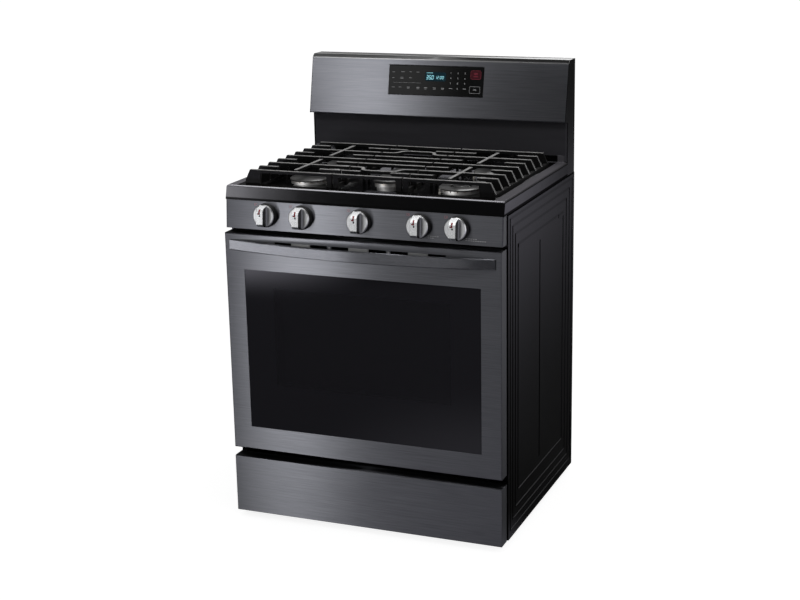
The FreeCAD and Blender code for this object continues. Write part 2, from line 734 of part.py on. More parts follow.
def d_bore(sketch, radius, flat):
    """Circle with one flat, as the stem's end has."""
    reach = math.sqrt(radius ** 2 - flat ** 2)
    angle = math.degrees(math.atan2(flat, reach))
    arc(sketch, (0, 0), radius, 180 - angle, 360 + angle)
    sketch.addGeometry(Part.LineSegment(Vector(reach, flat, 0), Vector(-reach, flat, 0)), False)
    sketch.addConstraint(Sketcher.Constraint("Coincident", 0, 3, -1, 1))
    sketch.addConstraint(Sketcher.Constraint("Coincident", 0, 2, 1, 1))
    sketch.addConstraint(Sketcher.Constraint("Coincident", 1, 2, 0, 1))
    sketch.addConstraint(Sketcher.Constraint("Horizontal", 1))
    constrain(sketch, "Radius", 0, size=radius)
    constrain(sketch, "DistanceY", -1, 1, 1, 1, size=flat)
    return sketch


def knob(place, x):
    """Round skirt and grip crossed by a bar with sloping ends, on a D-shaped bore."""
    body = new_body(f"knob_{place}")
    r, base = D.knob_radius, 3.6
    revolve(body, [(0, base), (r + 2.0, base), (r + 2.0, 6.6), (r, 8.0), (r, 18.5), (r - 2.0, 20.5), (0, 20.5)])
    bar = polygon(sketch_on(body, "YZ_Plane"),
                  [(-27.5, 12.0), (-26.0, 34.0), (-19.0, 42.0), (13.0, 42.0),
                   (20.0, 38.0), (28.0, 18.0), (28.0, 12.0)])
    pad(body, bar, 20.0, both_sides=True)
    round_edges(body, 1.2, lambda e: all(v.Point.z > 30 for v in e.Vertexes) and not runs_along(e, X))
    bore = d_bore(sketch_on(body, "XY_Plane", base), number(D.stem_radius + D.running_fit),
                  number(D.stem_radius - 1.55))
    pocket(body, bore, 16.2, False)
    body.Placement = on_panel(x)
    return body


# ---------------------------------------------------------------- cooktop and burners

COOKTOP_REAR = 272.0


def cooktop():
    """Pressed cooktop: leaning apron, flat rim, sunken well with sloping walls and a rear upstand."""
    body = new_body("cooktop")
    bottom, top = D.skirt_bottom, D.cooktop_top
    front = D.panel_front + D.panel_setback
    profile = polygon(sketch_on(body, "YZ_Plane"),
                      [(front, bottom), (front + D.apron_lean, top),
                       (COOKTOP_REAR, top), (COOKTOP_REAR, bottom)])
    pad(body, profile, D.body_width - 2.0, both_sides=True)
    round_edges(body, 6.0, lambda e: lies_in(e, "z", top) and not lies_in(e, "y", COOKTOP_REAR))
    well = rounded_rectangle(sketch_on(body, "XY_Plane", top), (-D.well_half, D.well_half),
                             (D.well_front, D.well_rear), 18.0)
    pocket(body, well, D.cooktop_top - D.well_floor, taper=-18.0)
    hollow(body, [-Z], T)
    upstand = rectangle(sketch_on(body, "XZ_Plane", -COOKTOP_REAR), (-371.0, 371.0), (top - 8.0, 932.0))
    pad(body, upstand, T)
    return body


BURNER_X = (-D.burner_side, -D.burner_side, 0.0, D.burner_side, D.burner_side)
BURNER_Y = (D.burner_front, D.burner_back, -10.5, D.burner_back, D.burner_front)
CAP_RADIUS = (52.0, 45.0, 37.0, 40.0, 56.0)
OVAL_RUN, OVAL_CAP = 84.0, 7.5


def at_burner(i):
    return Placement(Vector(number(BURNER_X[i]), number(BURNER_Y[i]), 0), Rotation())


def burner_base(i):
    """Cast burner body: foot, waist and a crown cut by radial flame ports."""
    body = new_body(f"burner_base_{PLACES[i]}")
    floor, top, r = D.well_floor, D.crown_top, CAP_RADIUS[i]
    revolve(body, [(0, floor), (r - 6, floor), (r - 6, floor + 3.0), (r - 12, floor + 7.0),
                   (r - 12, floor + 10.0),
                   (r - 3, floor + 13.0), (r - 3, top), (r - 11, top), (r - 13, floor + 13.0), (0, floor + 13.0)])
    port = rectangle(sketch_on(body, "XY_Plane", top), (r - 16, r + 1), (-1.1, 1.1))
    polar(body, pocket(body, port, 3.6), 18)
    body.Placement = at_burner(i)
    return body


def oval_base(i):
    """Long middle burner body with a row of ports along each flank."""
    body = new_body(f"burner_base_{PLACES[i]}")
    floor, top, r = D.well_floor, D.crown_top, CAP_RADIUS[i]
    pad(body, stadium(sketch_on(body, "XY_Plane", floor), r - 8.0, OVAL_RUN), 10.0)
    pad(body, stadium(sketch_on(body, "XY_Plane", floor + 10.0), r - 3.0, OVAL_RUN), top - floor - 10.0)
    pocket(body, stadium(sketch_on(body, "XY_Plane", top), r - 11.0, OVAL_RUN), 5.0)
    ports = sketch_on(body, "XY_Plane", top)
    rectangle(ports, (r - 13.0, r - 1.0), (-81.1, -78.9))
    rectangle(ports, (1.0 - r, 13.0 - r), (-81.1, -78.9))
    linear(body, pocket(body, ports, 3.6), 20.0, 9, "V_Axis")
    body.Placement = at_burner(i)
    return body


def burner_cap(i):
    """Enamelled cap with a soft edge and a hollow underside."""
    body = new_body(f"burner_cap_{PLACES[i]}")
    top, r = D.crown_top, CAP_RADIUS[i]
    revolve(body, [(0, top + 4.0), (r - 14, top + 4.0), (r - 11, top), (r - 1.0, top), (r, top + 1.0),
                   (r, top + 3.5), (r - 2.0, top + 5.6), (r - 6.0, top + 6.8), (0, top + 7.5)])
    body.Placement = at_burner(i)
    return body


def double_cap(i):
    """Two-part cap of the double burner: a ring, and a round cap in its middle."""
    top, r = D.crown_top, CAP_RADIUS[i]
    ring = new_body("burner_cap_ring")
    revolve(ring, [(r - 27, top), (r - 1.0, top), (r, top + 1.0), (r, top + 3.5), (r - 3.0, top + 5.8),
                   (r - 9.0, top + 6.6), (r - 24.0, top + 6.6), (r - 27.0, top + 4.0)])
    floor = D.well_floor + 13.0
    middle = new_body("burner_cap_middle")
    revolve(middle, [(0, floor), (16.0, floor), (16.0, top + 2.0), (21.0, top + 3.0), (21.0, top + 5.5),
                     (17.0, top + 7.5), (0, top + 8.2)])
    node = together(f"burner_cap_{PLACES[i]}", [ring, middle])
    node.Placement = at_burner(i)
    return node


def oval_cap(i):
    """Long enamelled cap of the middle burner."""
    body = new_body(f"burner_cap_{PLACES[i]}")
    pad(body, stadium(sketch_on(body, "XY_Plane", D.crown_top), CAP_RADIUS[i], OVAL_RUN), OVAL_CAP)
    round_edges(body, 3.5, lambda e: lies_in(e, "z", D.crown_top + OVAL_CAP))
    body.Placement = at_burner(i)
    return body


def burner_igniters():
    """Ceramic spark electrode with a metal tip beside each burner."""
    electrodes = []
    for i, place in enumerate(PLACES):
        middle = at_burner(i).Base
        side = -1 if i > 2 else 1
        electrode = new_body(f"electrode_{place}")
        revolve(electrode, [(0, 0), (3.4, 0), (3.4, 5.0), (2.6, 6.0), (2.6, 13.0),
                            (0.8, 14.0), (0.8, 17.5), (0, 17.5)])
        electrode.Placement.Base = middle + Vector(side * (CAP_RADIUS[i] + 4.0), 6.0, number(D.well_floor))
        electrodes.append(electrode)
    return together("burner_igniters", electrodes)


# ---------------------------------------------------------------- grates

RAIL_LOW, RAIL_HIGH = 911.0, 921.0
FIRST, PITCH = D.grate_first_row, D.grate_pitch
TOP = D.grate_top
UNDER = TOP - D.bar_height
TIP = TOP - 5.0
LAST = FIRST + PITCH * 8


def bar(body, profiles, row, plane="XZ_Plane"):
    """Cast bars with the given side views, one bar width deep, on a row across the range."""
    offset = -row if plane == "XZ_Plane" else row
    sketch = sketch_on(body, plane, offset)
    for profile in profiles:
        polygon(sketch, profile)
    return pad(body, sketch, D.bar_width, both_sides=True)


def grate_rails(body, spans):
    """Low rails from the first to the last row, with a round foot below each end and the middle."""
    half_bar = D.bar_width / 2
    rails = sketch_on(body, "XY_Plane", RAIL_LOW)
    feet = sketch_on(body, "XY_Plane", D.well_floor)
    for low, high in spans:
        rectangle(rails, (low, high), (FIRST - half_bar, LAST + half_bar))
        inset = (low + high) / 2 if abs(low) < 200 else math.copysign(336.0, low)
        for y in (FIRST + 17.0, FIRST + PITCH * 4, LAST - 17.0):
            circle(feet, inset, y, 4.0)
    pad(body, rails, RAIL_HIGH - RAIL_LOW)
    pad(body, feet, RAIL_LOW - D.well_floor)


def side_grate(name, side):
    """Grate over two burners: long bars and short fingers in turn, with sloping outer legs."""
    body = new_body(f"grate_{name}")
    outer = [(329.3, TOP), (343.0, RAIL_HIGH), (343.0, RAIL_LOW), (302.0, RAIL_LOW), (299.0, UNDER)]
    inner = [(112.0, UNDER), (111.0, RAIL_LOW), (98.0, RAIL_LOW), (98.0, TOP)]
    outer_finger = outer + [(283.0, UNDER), (275.5, TIP), (275.5, TOP)]
    inner_finger = inner + [(157.0, TOP), (157.0, TIP), (149.5, UNDER)]

    def on_side(profile):
        return [(x * side, z) for x, z in profile]

    long_bar = bar(body, [on_side(outer + inner)], FIRST)
    grate_rails(body, [(side * 104.0 - 4.0, side * 104.0 + 4.0), (side * 338.0 - 5.0, side * 338.0 + 5.0)])
    linear(body, long_bar, PITCH * 2, 5, backwards=True)
    fingers = bar(body, [on_side(outer_finger), on_side(inner_finger)], FIRST + PITCH)
    linear(body, fingers, PITCH * 2, 4, backwards=True)
    for row in (2, 6):
        near, far = FIRST + PITCH * row - 85.0, FIRST + PITCH * row + 78.0
        along = [(near, TOP), (near, TIP), (near + 7.5, UNDER), (far - 7.5, UNDER), (far, TIP), (far, TOP)]
        bar(body, [along], D.burner_side * side, plane="YZ_Plane")
    return body


def bowed_bar(body, row, way):
    """Cross bar that swings clear of the oval burner's end: flats joined by pairs of equal arcs."""
    half, flat, run, rise = 93.0, 28.0, 43.0, 38.0
    half_bar = number(D.bar_width) / 2
    turn = 2 * math.degrees(math.atan2(rise, run))
    radius = run / (2 * math.sin(math.radians(turn)))
    y = number(row)
    sketch = sketch_on(body, "XY_Plane", UNDER)

    def line(x0, y0, x1, y1):
        sketch.addGeometry(Part.LineSegment(Vector(x0, y0, 0), Vector(x1, y1, 0)), False)

    for edge in (half_bar, -half_bar):
        base, crest = y + edge * way, y + (rise + edge) * way
        near, far = radius - edge, radius + edge
        for side in (-1, 1):
            line(side * half, base, side * (flat + run), base)
            low_centre = (side * (flat + run), y + radius * way)
            high_centre = (side * flat, y + (rise - radius) * way)
            if way * side > 0:
                arc(sketch, low_centre, near, 270 - turn if way > 0 else 90 - turn, 270 if way > 0 else 90)
                arc(sketch, high_centre, far, 90 - turn if way > 0 else 270 - turn, 90 if way > 0 else 270)
            else:
                arc(sketch, low_centre, near, 270 if way > 0 else 90, 270 + turn if way > 0 else 90 + turn)
                arc(sketch, high_centre, far, 90 if way > 0 else 270, 90 + turn if way > 0 else 270 + turn)
        line(-flat, crest, flat, crest)
    line(-half, y - half_bar, -half, y + half_bar)
    line(half, y - half_bar, half, y + half_bar)
    pad(body, sketch, D.bar_height)


def center_grate():
    """Middle grate: straight bars, short fingers, and two bowed bars round the oval burner."""
    body = new_body("grate_center")
    leg = [(93.0, TOP), (93.0, RAIL_LOW), (80.0, RAIL_LOW), (79.0, UNDER)]
    finger = leg + [(49.5, UNDER), (42.0, TIP), (42.0, TOP)]

    def mirrored(profile):
        return [(-x, z) for x, z in profile]

    straight = leg + mirrored(leg)[::-1]
    bar(body, [straight], FIRST)
    grate_rails(body, [(-93.0, -85.0), (85.0, 93.0)])
    for row in (3, 4, 5, 8):
        bar(body, [straight], FIRST + PITCH * row)
    for row in (1, 7):
        bar(body, [finger, mirrored(finger)], FIRST + PITCH * row)
    post = [(93.0, TOP), (93.0, RAIL_LOW), (85.0, RAIL_LOW), (85.0, TOP)]
    for row, way in ((2, -1), (6, 1)):
        bar(body, [post, mirrored(post)], FIRST + PITCH * row)
        bowed_bar(body, FIRST + PITCH * row, way)
    return body


# ---------------------------------------------------------------- backguard

GUARD_SHEET = 1.5
LEAN_RUN, LEAN_RISE = 33.0, 156.5


def backguard_panel():
    """Leaning front sheet of the backguard, folded over at the top and under at the bottom."""
    body = new_body("backguard_panel")
    y, z, rear, top = D.guard_front, D.guard_bottom, D.body_rear - GUARD_SHEET, D.overall_height
    profile = polygon(sketch_on(body, "YZ_Plane"),
                      [(y, z), (y + LEAN_RUN, z + LEAN_RISE), (y + 42.0, top), (rear, top), (rear, z)])
    pad(body, profile, (D.guard_half - GUARD_SHEET) * 2, both_sides=True)
    round_edges(body, 3.0, lambda e: runs_along(e, X) and e.Vertexes[0].Point.y < 300)
    hollow(body, [Y, X, -X], T)
    opening = rectangle(sketch_on(body, "XZ_Plane", -D.guard_front),
                        (-D.display_half - 0.5, D.display_half + 0.5),
                        (1084.2, 1166.6))
    pocket(body, opening, 45.0)
    return body


def backguard_housing():
    """Rear sheet with both ends folded forward: they close the backguard and reach down to the body."""
    body = new_body("backguard_housing")
    y, z, low, top = D.guard_front, D.guard_bottom, D.skirt_bottom, D.overall_height
    back = rectangle(sketch_on(body, "XZ_Plane", -D.body_rear), (-D.guard_half, D.guard_half), (low, top))
    pad(body, back, GUARD_SHEET)
    outline = [(COOKTOP_REAR, low), (COOKTOP_REAR, z - 3.0), (y, z), (y + LEAN_RUN, z + LEAN_RISE), (y + 42.0, top),
               (D.body_rear, top), (D.body_rear, low)]
    for _, side in SIDES:
        end = polygon(sketch_on(body, "YZ_Plane", D.guard_half * side), outline)
        pad(body, end, GUARD_SHEET, side < 0)
    return body


def backguard_lower_panel():
    """Upright sheet between the cooktop and the leaning panel, with returned ends."""
    body = new_body("backguard_lower_panel")
    half, low = D.guard_half - GUARD_SHEET, 915.0
    outline = rectangle(sketch_on(body, "XY_Plane", low), (-half, half), (COOKTOP_REAR, 296.0))
    pad(body, outline, D.guard_bottom - low)
    round_edges(body, 6.0, lambda e: runs_along(e, Z) and lies_in(e, "y", COOKTOP_REAR))
    hollow(body, [Y, Z, -Z], T)
    return body


DISPLAY_BOTTOM, DISPLAY_HEIGHT = 1085.0, 81.4


def on_lean(node, across, inward, up):
    """Set a node's frame on the backguard's leaning face, its own Z up the face and Y into it."""
    node.Placement = Placement(Vector(), Rotation(X, -math.degrees(math.atan2(LEAN_RUN, LEAN_RISE))))
    ahead = (DISPLAY_BOTTOM - D.guard_bottom) * (LEAN_RUN / LEAN_RISE)
    tilt = math.atan2(LEAN_RUN, LEAN_RISE)
    bind(node, "Placement.Base.x", across)
    bind(node, "Placement.Base.y", D.guard_front + ahead + inward * math.cos(tilt) + up * math.sin(tilt))
    bind(node, "Placement.Base.z", DISPLAY_BOTTOM - inward * math.sin(tilt) + up * math.cos(tilt))


def display_glass():
    """Black glass of the oven's display and key field, set into the leaning panel."""
    glass = block("display_glass", (-D.display_half, D.display_half), (0.0, 4.0), (0.0, DISPLAY_HEIGHT))
    on_lean(glass, -D.display_half, -0.3, 0.0)
    return glass


def display_module():
    """Housing of the clock and oven control behind the glass, screwed to the back of the panel."""
    body = new_body("display_module")
    front, depth, edge = 1.25, 24.0, 10.0
    half = D.display_half
    outline = rounded_rectangle(sketch_on(body, "XZ_Plane", -front), (-half - edge, half + edge),
                                (-7.0, DISPLAY_HEIGHT + 7.0), 4.0)
    pad(body, outline, depth, False)
    seat = rectangle(sketch_on(body, "XZ_Plane", -front),
                     (-half - 0.3, half + 0.3), (-0.3, DISPLAY_HEIGHT + 0.3))
    pocket(body, seat, 3.7 - front)
    on_lean(body, 0.0, 0.0, 0.0)
    return body


# ---------------------------------------------------------------- door

def hinge_arm_slots(body, low):
    """Cut the slots that let the fixed hinge arms pass into the door's bottom and rear."""
    slots = sketch_on(body, "XY_Plane", low)
    for _, side in SIDES:
        rectangle(slots, (side * HINGE_X - 5.0, side * HINGE_X + 5.0), (-269.0, D.door_back + 1.0))
    pocket(body, slots, 27.0, False)


def door_skin():
    """Folded front sheet of the door: window, vent slots above it and raised lands between them."""
    body = new_body("door_skin")
    face, low, high = D.door_face, D.door_bottom, D.door_bottom + D.door_height
    outline = rectangle(sketch_on(body, "XZ_Plane", -face), (-FRONT_HALF, FRONT_HALF), (low, high))
    pad(body, outline, D.front_depth, False)
    round_edges(body, 2.5, lambda e: lies_in(e, "y", face))
    hollow(body, [Y], T)
    window = rectangle(sketch_on(body, "XZ_Plane", -face), (-D.window_half, D.window_half),
                       (D.window_bottom, D.window_bottom + D.window_height))
    pocket(body, window, 4.0)
    row, gap = (762.0, 775.5), 1.5
    lands = sketch_on(body, "XZ_Plane", -face)
    for start, end in ((-187.5, -134.0), (-28.0, 28.0), (134.0, 187.5)):
        rectangle(lands, (start + gap, end - gap), row)
    pad(body, lands, 0.6)
    vents = sketch_on(body, "XZ_Plane", -face)
    for start, end in ((28.0, 75.0), (87.0, 134.0), (187.5, 234.5)):
        rectangle(vents, (start, end), row)
        rectangle(vents, (-end, -start), row)
    pocket(body, vents, 4.0)
    hinge_arm_slots(body, low)
    return body


def door_glass_outer():
    """Outer window pane, held against the back of the door's front sheet."""
    lap, inside = 7.0, D.door_face + T
    return block("door_glass_outer", (-D.window_half - lap, D.window_half + lap), (inside, inside + 4.0),
                 (D.window_bottom - lap, D.window_bottom + D.window_height + lap))


def door_liner():
    """Inner pan of the door with the inner window and slots for the hinge arms."""
    body = new_body("door_liner")
    low, high, back = D.door_bottom + T, D.door_bottom + D.door_height - T, D.door_back
    half = FRONT_HALF - T
    pad(body, rectangle(sketch_on(body, "XZ_Plane", -back), (-half, half), (low, high)), 34.0)
    round_edges(body, 4.0, lambda e: lies_in(e, "y", back))
    hollow(body, [-Y], T)
    window = rounded_rectangle(sketch_on(body, "XZ_Plane", -back), (-250.0, 250.0), (376.0, 658.0), 8.0)
    pocket(body, window, 4.0, False)
    hinge_arm_slots(body, low)
    return body


def door_glass_inner():
    """Inner window pane, held against the inside of the liner."""
    back = D.door_back - T
    return block("door_glass_inner", (-262.0, 262.0), (back - 4.0, back), (364.0, 670.0))


def door_handle():
    """Broad strap, bowed across the whole door, whose ends meet the door's face."""
    body = new_body("door_handle")
    half, bow, thick = (number(v) for v in (D.handle_half, D.handle_bow, D.handle_thickness))
    face, lip, foot = number(D.door_face), 3.0, 14.0
    sketch = sketch_on(body, "XY_Plane", D.handle_bottom)
    for reach, near, far in ((half, face - lip, face - bow - 1.5), (half - foot, face, face - bow - 1.5 + thick)):
        sagitta = near - far
        radius = (reach ** 2 + sagitta ** 2) / (2 * sagitta)
        spread = math.degrees(math.asin(reach / radius))
        arc(sketch, (0, far + radius), radius, 270 - spread, 270 + spread)
    for side in (-1, 1):
        corner = Vector(side * half, face, 0)
        sketch.addGeometry(Part.LineSegment(Vector(side * half, face - lip, 0), corner), False)
        sketch.addGeometry(Part.LineSegment(corner, Vector(side * (half - foot), face, 0)), False)
    pad(body, sketch, D.handle_height)
    round_edges(body, 2.5, lambda e: isinstance(e.Curve, Part.Circle))
    return body


PIN_RADIUS = 3.9


def door_hinges():
    """Channel at each lower corner of the door whose two cheeks turn on the hinge pin."""
    y, z = D.hinge_y, D.hinge_z
    channels = []
    for name, side in SIDES:
        middle = side * HINGE_X
        channel = new_body(f"hinge_channel_{name}")
        plan = polygon(sketch_on(channel, "XY_Plane", z - 8.0),
                       [(middle - 8.6, y - 22.0), (middle + 8.6, y - 22.0), (middle + 8.6, y + 5.8),
                        (middle + 5.6, y + 5.8), (middle + 5.6, y - 19.0), (middle - 5.6, y - 19.0),
                        (middle - 5.6, y + 5.8), (middle - 8.6, y + 5.8)])
        pad(channel, plan, 78.0)
        relief = rectangle(sketch_on(channel, "YZ_Plane", middle - 10.0), (y - 23.0, y - 8.0), (z - 9.0, z + 8.0))
        pocket(channel, relief, 20.0, False)
        bore = circle(sketch_on(channel, "YZ_Plane", middle - 10.0), y, z, PIN_RADIUS + D.running_fit)
        pocket(channel, bore, 20.0, False)
        channels.append(channel)
    return together("door_hinges", channels)


def hinge_receivers():
    """Bracket behind the front frame at each side, with the arm and the pin that carry the door."""
    y, z, front, rear = D.hinge_y, D.hinge_z, T - 236.0, -190.0
    receivers = []
    for name, side in SIDES:
        middle = side * HINGE_X
        plates = [block(f"receiver_{name}_{i}", (x, x + 3.0), (front, rear), (184.0, 244.0))
                  for i, x in enumerate((middle - 11.0, middle + 8.0))]
        web = block(f"receiver_web_{name}", (middle - 11.0, middle + 11.0), (rear - 3.0, rear), (184.0, 244.0))
        arm = block(f"hinge_arm_{name}", (middle - 3.0, middle + 3.0), (y, rear - 1.0), (z - 5.0, z + 5.0))
        eye = rod(f"hinge_eye_{name}", (middle - 3, y, z), (middle + 3, y, z), 5.4)
        pin = rod(f"hinge_pin_{name}", (middle - 9, y, z), (middle + 9, y, z), PIN_RADIUS)
        receivers.append(union(f"hinge_receiver_{name}", [*plates, web, arm, eye, pin]))
    return together("hinge_receivers", receivers)


# ---------------------------------------------------------------- drawer

def drawer_front():
    """Folded front sheet of the storage drawer with a sloping top edge."""
    body = new_body("drawer_front")
    low, high = D.base_height, D.base_height + D.drawer_height
    face, back = D.door_face, D.door_face + D.front_depth
    profile = polygon(sketch_on(body, "YZ_Plane"),
                      [(face, low), (face, high - 2.0), (face + 3.0, high), (back, high), (back, low)])
    pad(body, profile, D.front_width, both_sides=True)
    hollow(body, [Y], T)
    return body


def drawer_box():
    """Sheet-metal drawer box, open at the top, behind a plate that closes the drawer's front."""
    body = new_body("drawer_box")
    front = D.door_face + D.front_depth
    outline = rounded_rectangle(sketch_on(body, "XY_Plane", 36.0),
                                (-D.box_half, D.box_half), (front, 205.0), 6.0)
    pad(body, outline, 116.0)
    hollow(body, [Z], T)
    low, high = D.base_height, D.base_height + D.drawer_height
    plate = rectangle(sketch_on(body, "XZ_Plane", -front),
                      (T - FRONT_HALF, FRONT_HALF - T), (low + T, high - T))
    pad(body, plate, T, False)
    return body


def drawer_runners():
    """Sliding strip on each side of the drawer box."""
    reach = D.box_half + 5.0
    along, up = (D.door_face + D.front_depth + T, 204.0), (89.9, 102.0)
    strips = [block("runner_left", (-reach, -D.box_half), along, up),
              block("runner_right", (D.box_half, reach), along, up)]
    return together("drawer_runners", strips)


def drawer_rails():
    """Channel on each side of the body in which the drawer's runners slide."""
    outline = [(318.0, 86.5), (318.0, 106.0), (312.0, 106.0), (312.0, 103.5), (316.6, 103.5), (316.6, 89.5),
               (312.0, 89.5), (312.0, 86.5)]
    channels = []
    for name, side in SIDES:
        channel = new_body(f"drawer_rail_{name}")
        profile = polygon(sketch_on(channel, "XZ_Plane", 245.0), [(x * side, z) for x, z in outline])
        pad(channel, profile, 520.0, False)
        channels.append(channel)
    return together("drawer_rails", channels)


# ---------------------------------------------------------------- assembly

nodes = [side_panel(*each) for each in SIDES]
nodes += [rear_panel(), base_frame(), leveling_legs()]
nodes += [oven_cavity(), oven_front_frame(), oven_gasket(), oven_floor(), oven_light()]
nodes += [bake_burner(), broil_burner()]
nodes += [oven_rack("oven_rack_lower", LEDGES[1]), oven_rack("oven_rack_upper", LEDGES[3])]
nodes += [control_panel(), gas_manifold(), gas_regulator(), gas_supply_tube()]
nodes += [valve_stem(*each) for each in zip(PLACES, KNOB_X)]
nodes += [knob(*each) for each in zip(PLACES, KNOB_X)]
nodes += [cooktop(), oval_base(2), oval_cap(2), double_cap(4), burner_igniters()]
nodes += [burner_base(i) for i in (0, 1, 3, 4)]
nodes += [burner_cap(i) for i in (0, 1, 3)]
nodes += [side_grate(*each) for each in SIDES] + [center_grate()]
nodes += [backguard_panel(), backguard_housing(), backguard_lower_panel()]
nodes += [display_glass(), display_module()]
nodes += [door_skin(), door_glass_outer(), door_liner(), door_glass_inner(), door_handle(), door_hinges()]
nodes += [hinge_receivers(), drawer_front(), drawer_box(), drawer_runners(), drawer_rails()]
doc.recompute()

for item in doc.Objects:
    if "Invalid" in item.State or "Error" in item.State:
        raise RuntimeError(f"{item.Label} failed: {item.State}")
for node in nodes:
    if node.Shape.isNull() or not node.Shape.isValid():
        raise RuntimeError(f"{node.Label} has no valid shape")

os.makedirs("parts", exist_ok=True)
for node in nodes:
    node.Shape.exportStep(f"parts/{node.Label}.step")
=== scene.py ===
"""Looks of the freestanding gas range: finishes, printing, screws, camera and studio light.

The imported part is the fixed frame. +X is the user's right, -Y faces the user, +Z is up, all in metres.
"""

import functools
import json
import math

import bmesh
import bpy
import numpy as np
from mathutils import Matrix, Vector


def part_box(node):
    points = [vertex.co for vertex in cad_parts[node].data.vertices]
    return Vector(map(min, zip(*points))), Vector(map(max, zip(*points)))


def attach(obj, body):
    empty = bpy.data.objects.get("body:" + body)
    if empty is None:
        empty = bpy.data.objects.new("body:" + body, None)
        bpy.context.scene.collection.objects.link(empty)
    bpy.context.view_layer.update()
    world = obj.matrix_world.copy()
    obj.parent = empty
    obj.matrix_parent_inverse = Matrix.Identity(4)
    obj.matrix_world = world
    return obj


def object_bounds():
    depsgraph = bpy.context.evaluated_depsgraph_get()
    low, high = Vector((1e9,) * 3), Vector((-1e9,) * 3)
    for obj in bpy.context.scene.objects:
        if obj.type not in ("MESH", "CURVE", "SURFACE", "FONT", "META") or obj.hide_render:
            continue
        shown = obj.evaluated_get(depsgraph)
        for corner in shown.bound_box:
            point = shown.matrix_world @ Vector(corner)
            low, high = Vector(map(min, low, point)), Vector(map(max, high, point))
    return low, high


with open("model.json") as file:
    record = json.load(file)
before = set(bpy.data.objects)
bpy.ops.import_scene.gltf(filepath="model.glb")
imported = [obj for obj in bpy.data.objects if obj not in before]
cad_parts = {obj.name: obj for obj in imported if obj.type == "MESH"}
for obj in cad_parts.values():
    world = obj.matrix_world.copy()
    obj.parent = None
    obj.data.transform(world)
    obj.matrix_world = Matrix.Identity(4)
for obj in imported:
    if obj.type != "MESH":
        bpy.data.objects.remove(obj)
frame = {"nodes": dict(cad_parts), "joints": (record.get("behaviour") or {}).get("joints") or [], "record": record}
cad_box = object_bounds()
NODES = frame["nodes"]
PLACES = ("left_front", "left_rear", "center", "right_rear", "right_front")
MM = 0.001
TAPS = {place: next(j for j in frame["joints"] if j["name"] == f"valve_turn_{place}") for place in PLACES}
KNOB_SEAT = Vector(TAPS["center"]["pos_m"])
KNOB_AXIS = Vector(TAPS["center"]["axis"]).normalized()


# ---------------------------------------------------------------- finishes: shader maths

class Signal:
    """One output socket of a finish; sums, differences, products and quotients of it become Math nodes."""

    def __init__(self, finish, socket):
        self.finish = finish
        self.socket = socket

    def math(self, operation, *others):
        """The operation on this value and the others, in that order."""
        return self.finish.node("Math", {"operation": operation}, dict(enumerate((self, *others))))

    def __add__(self, other):
        return self.math("ADD", other)

    def __sub__(self, other):
        return self.math("SUBTRACT", other)

    def __rsub__(self, other):
        return self.finish.node("Math", {"operation": "SUBTRACT"}, {0: other, 1: self})

    def __mul__(self, other):
        return self.math("MULTIPLY", other)

    def __truediv__(self, other):
        return self.math("DIVIDE", other)

    def rise(self, low, high):
        """0 below low, 1 above high, with a smooth step between them."""
        return self.finish.node("MapRange", {"interpolation_type": "SMOOTHSTEP"},
                                {"Value": self, "From Min": low, "From Max": high})

    def within(self, low, high, soft):
        """1 between low and high, falling to 0 over the soft width outside them."""
        return self.rise(low - soft, low) * (1 - self.rise(high, high + soft))


def largest(signals):
    """The largest of several values."""
    return functools.reduce(lambda a, b: a.math("MAXIMUM", b), signals)


class Shading:
    """A material's or the world's node tree, built up through one method."""

    def __init__(self, owner):
        owner.use_nodes = True
        self.owner = owner
        self.tree = owner.node_tree
        self.tree.nodes.clear()

    def node(self, kind, settings=None, sockets=None, output=0):
        """Add a shader node: settings first, then the values or links of its sockets."""
        made = self.tree.nodes.new("ShaderNode" + kind)
        for key, value in (settings or {}).items():
            setattr(made, key, value)
        for key, value in (sockets or {}).items():
            if isinstance(value, Signal):
                self.tree.links.new(value.socket, made.inputs[key])
            else:
                made.inputs[key].default_value = value
        return Signal(self, made.outputs[output]) if made.outputs else None

    def ray(self, *kinds):
        """1 for rays of any of the given kinds."""
        return largest([self.node("LightPath", output=f"Is {kind} Ray") for kind in kinds])


# The colour sockets of a Mix node, which share their names with its other sockets.
FACTOR, COLOUR_A, COLOUR_B, MIXED_COLOUR = 0, 6, 7, 2


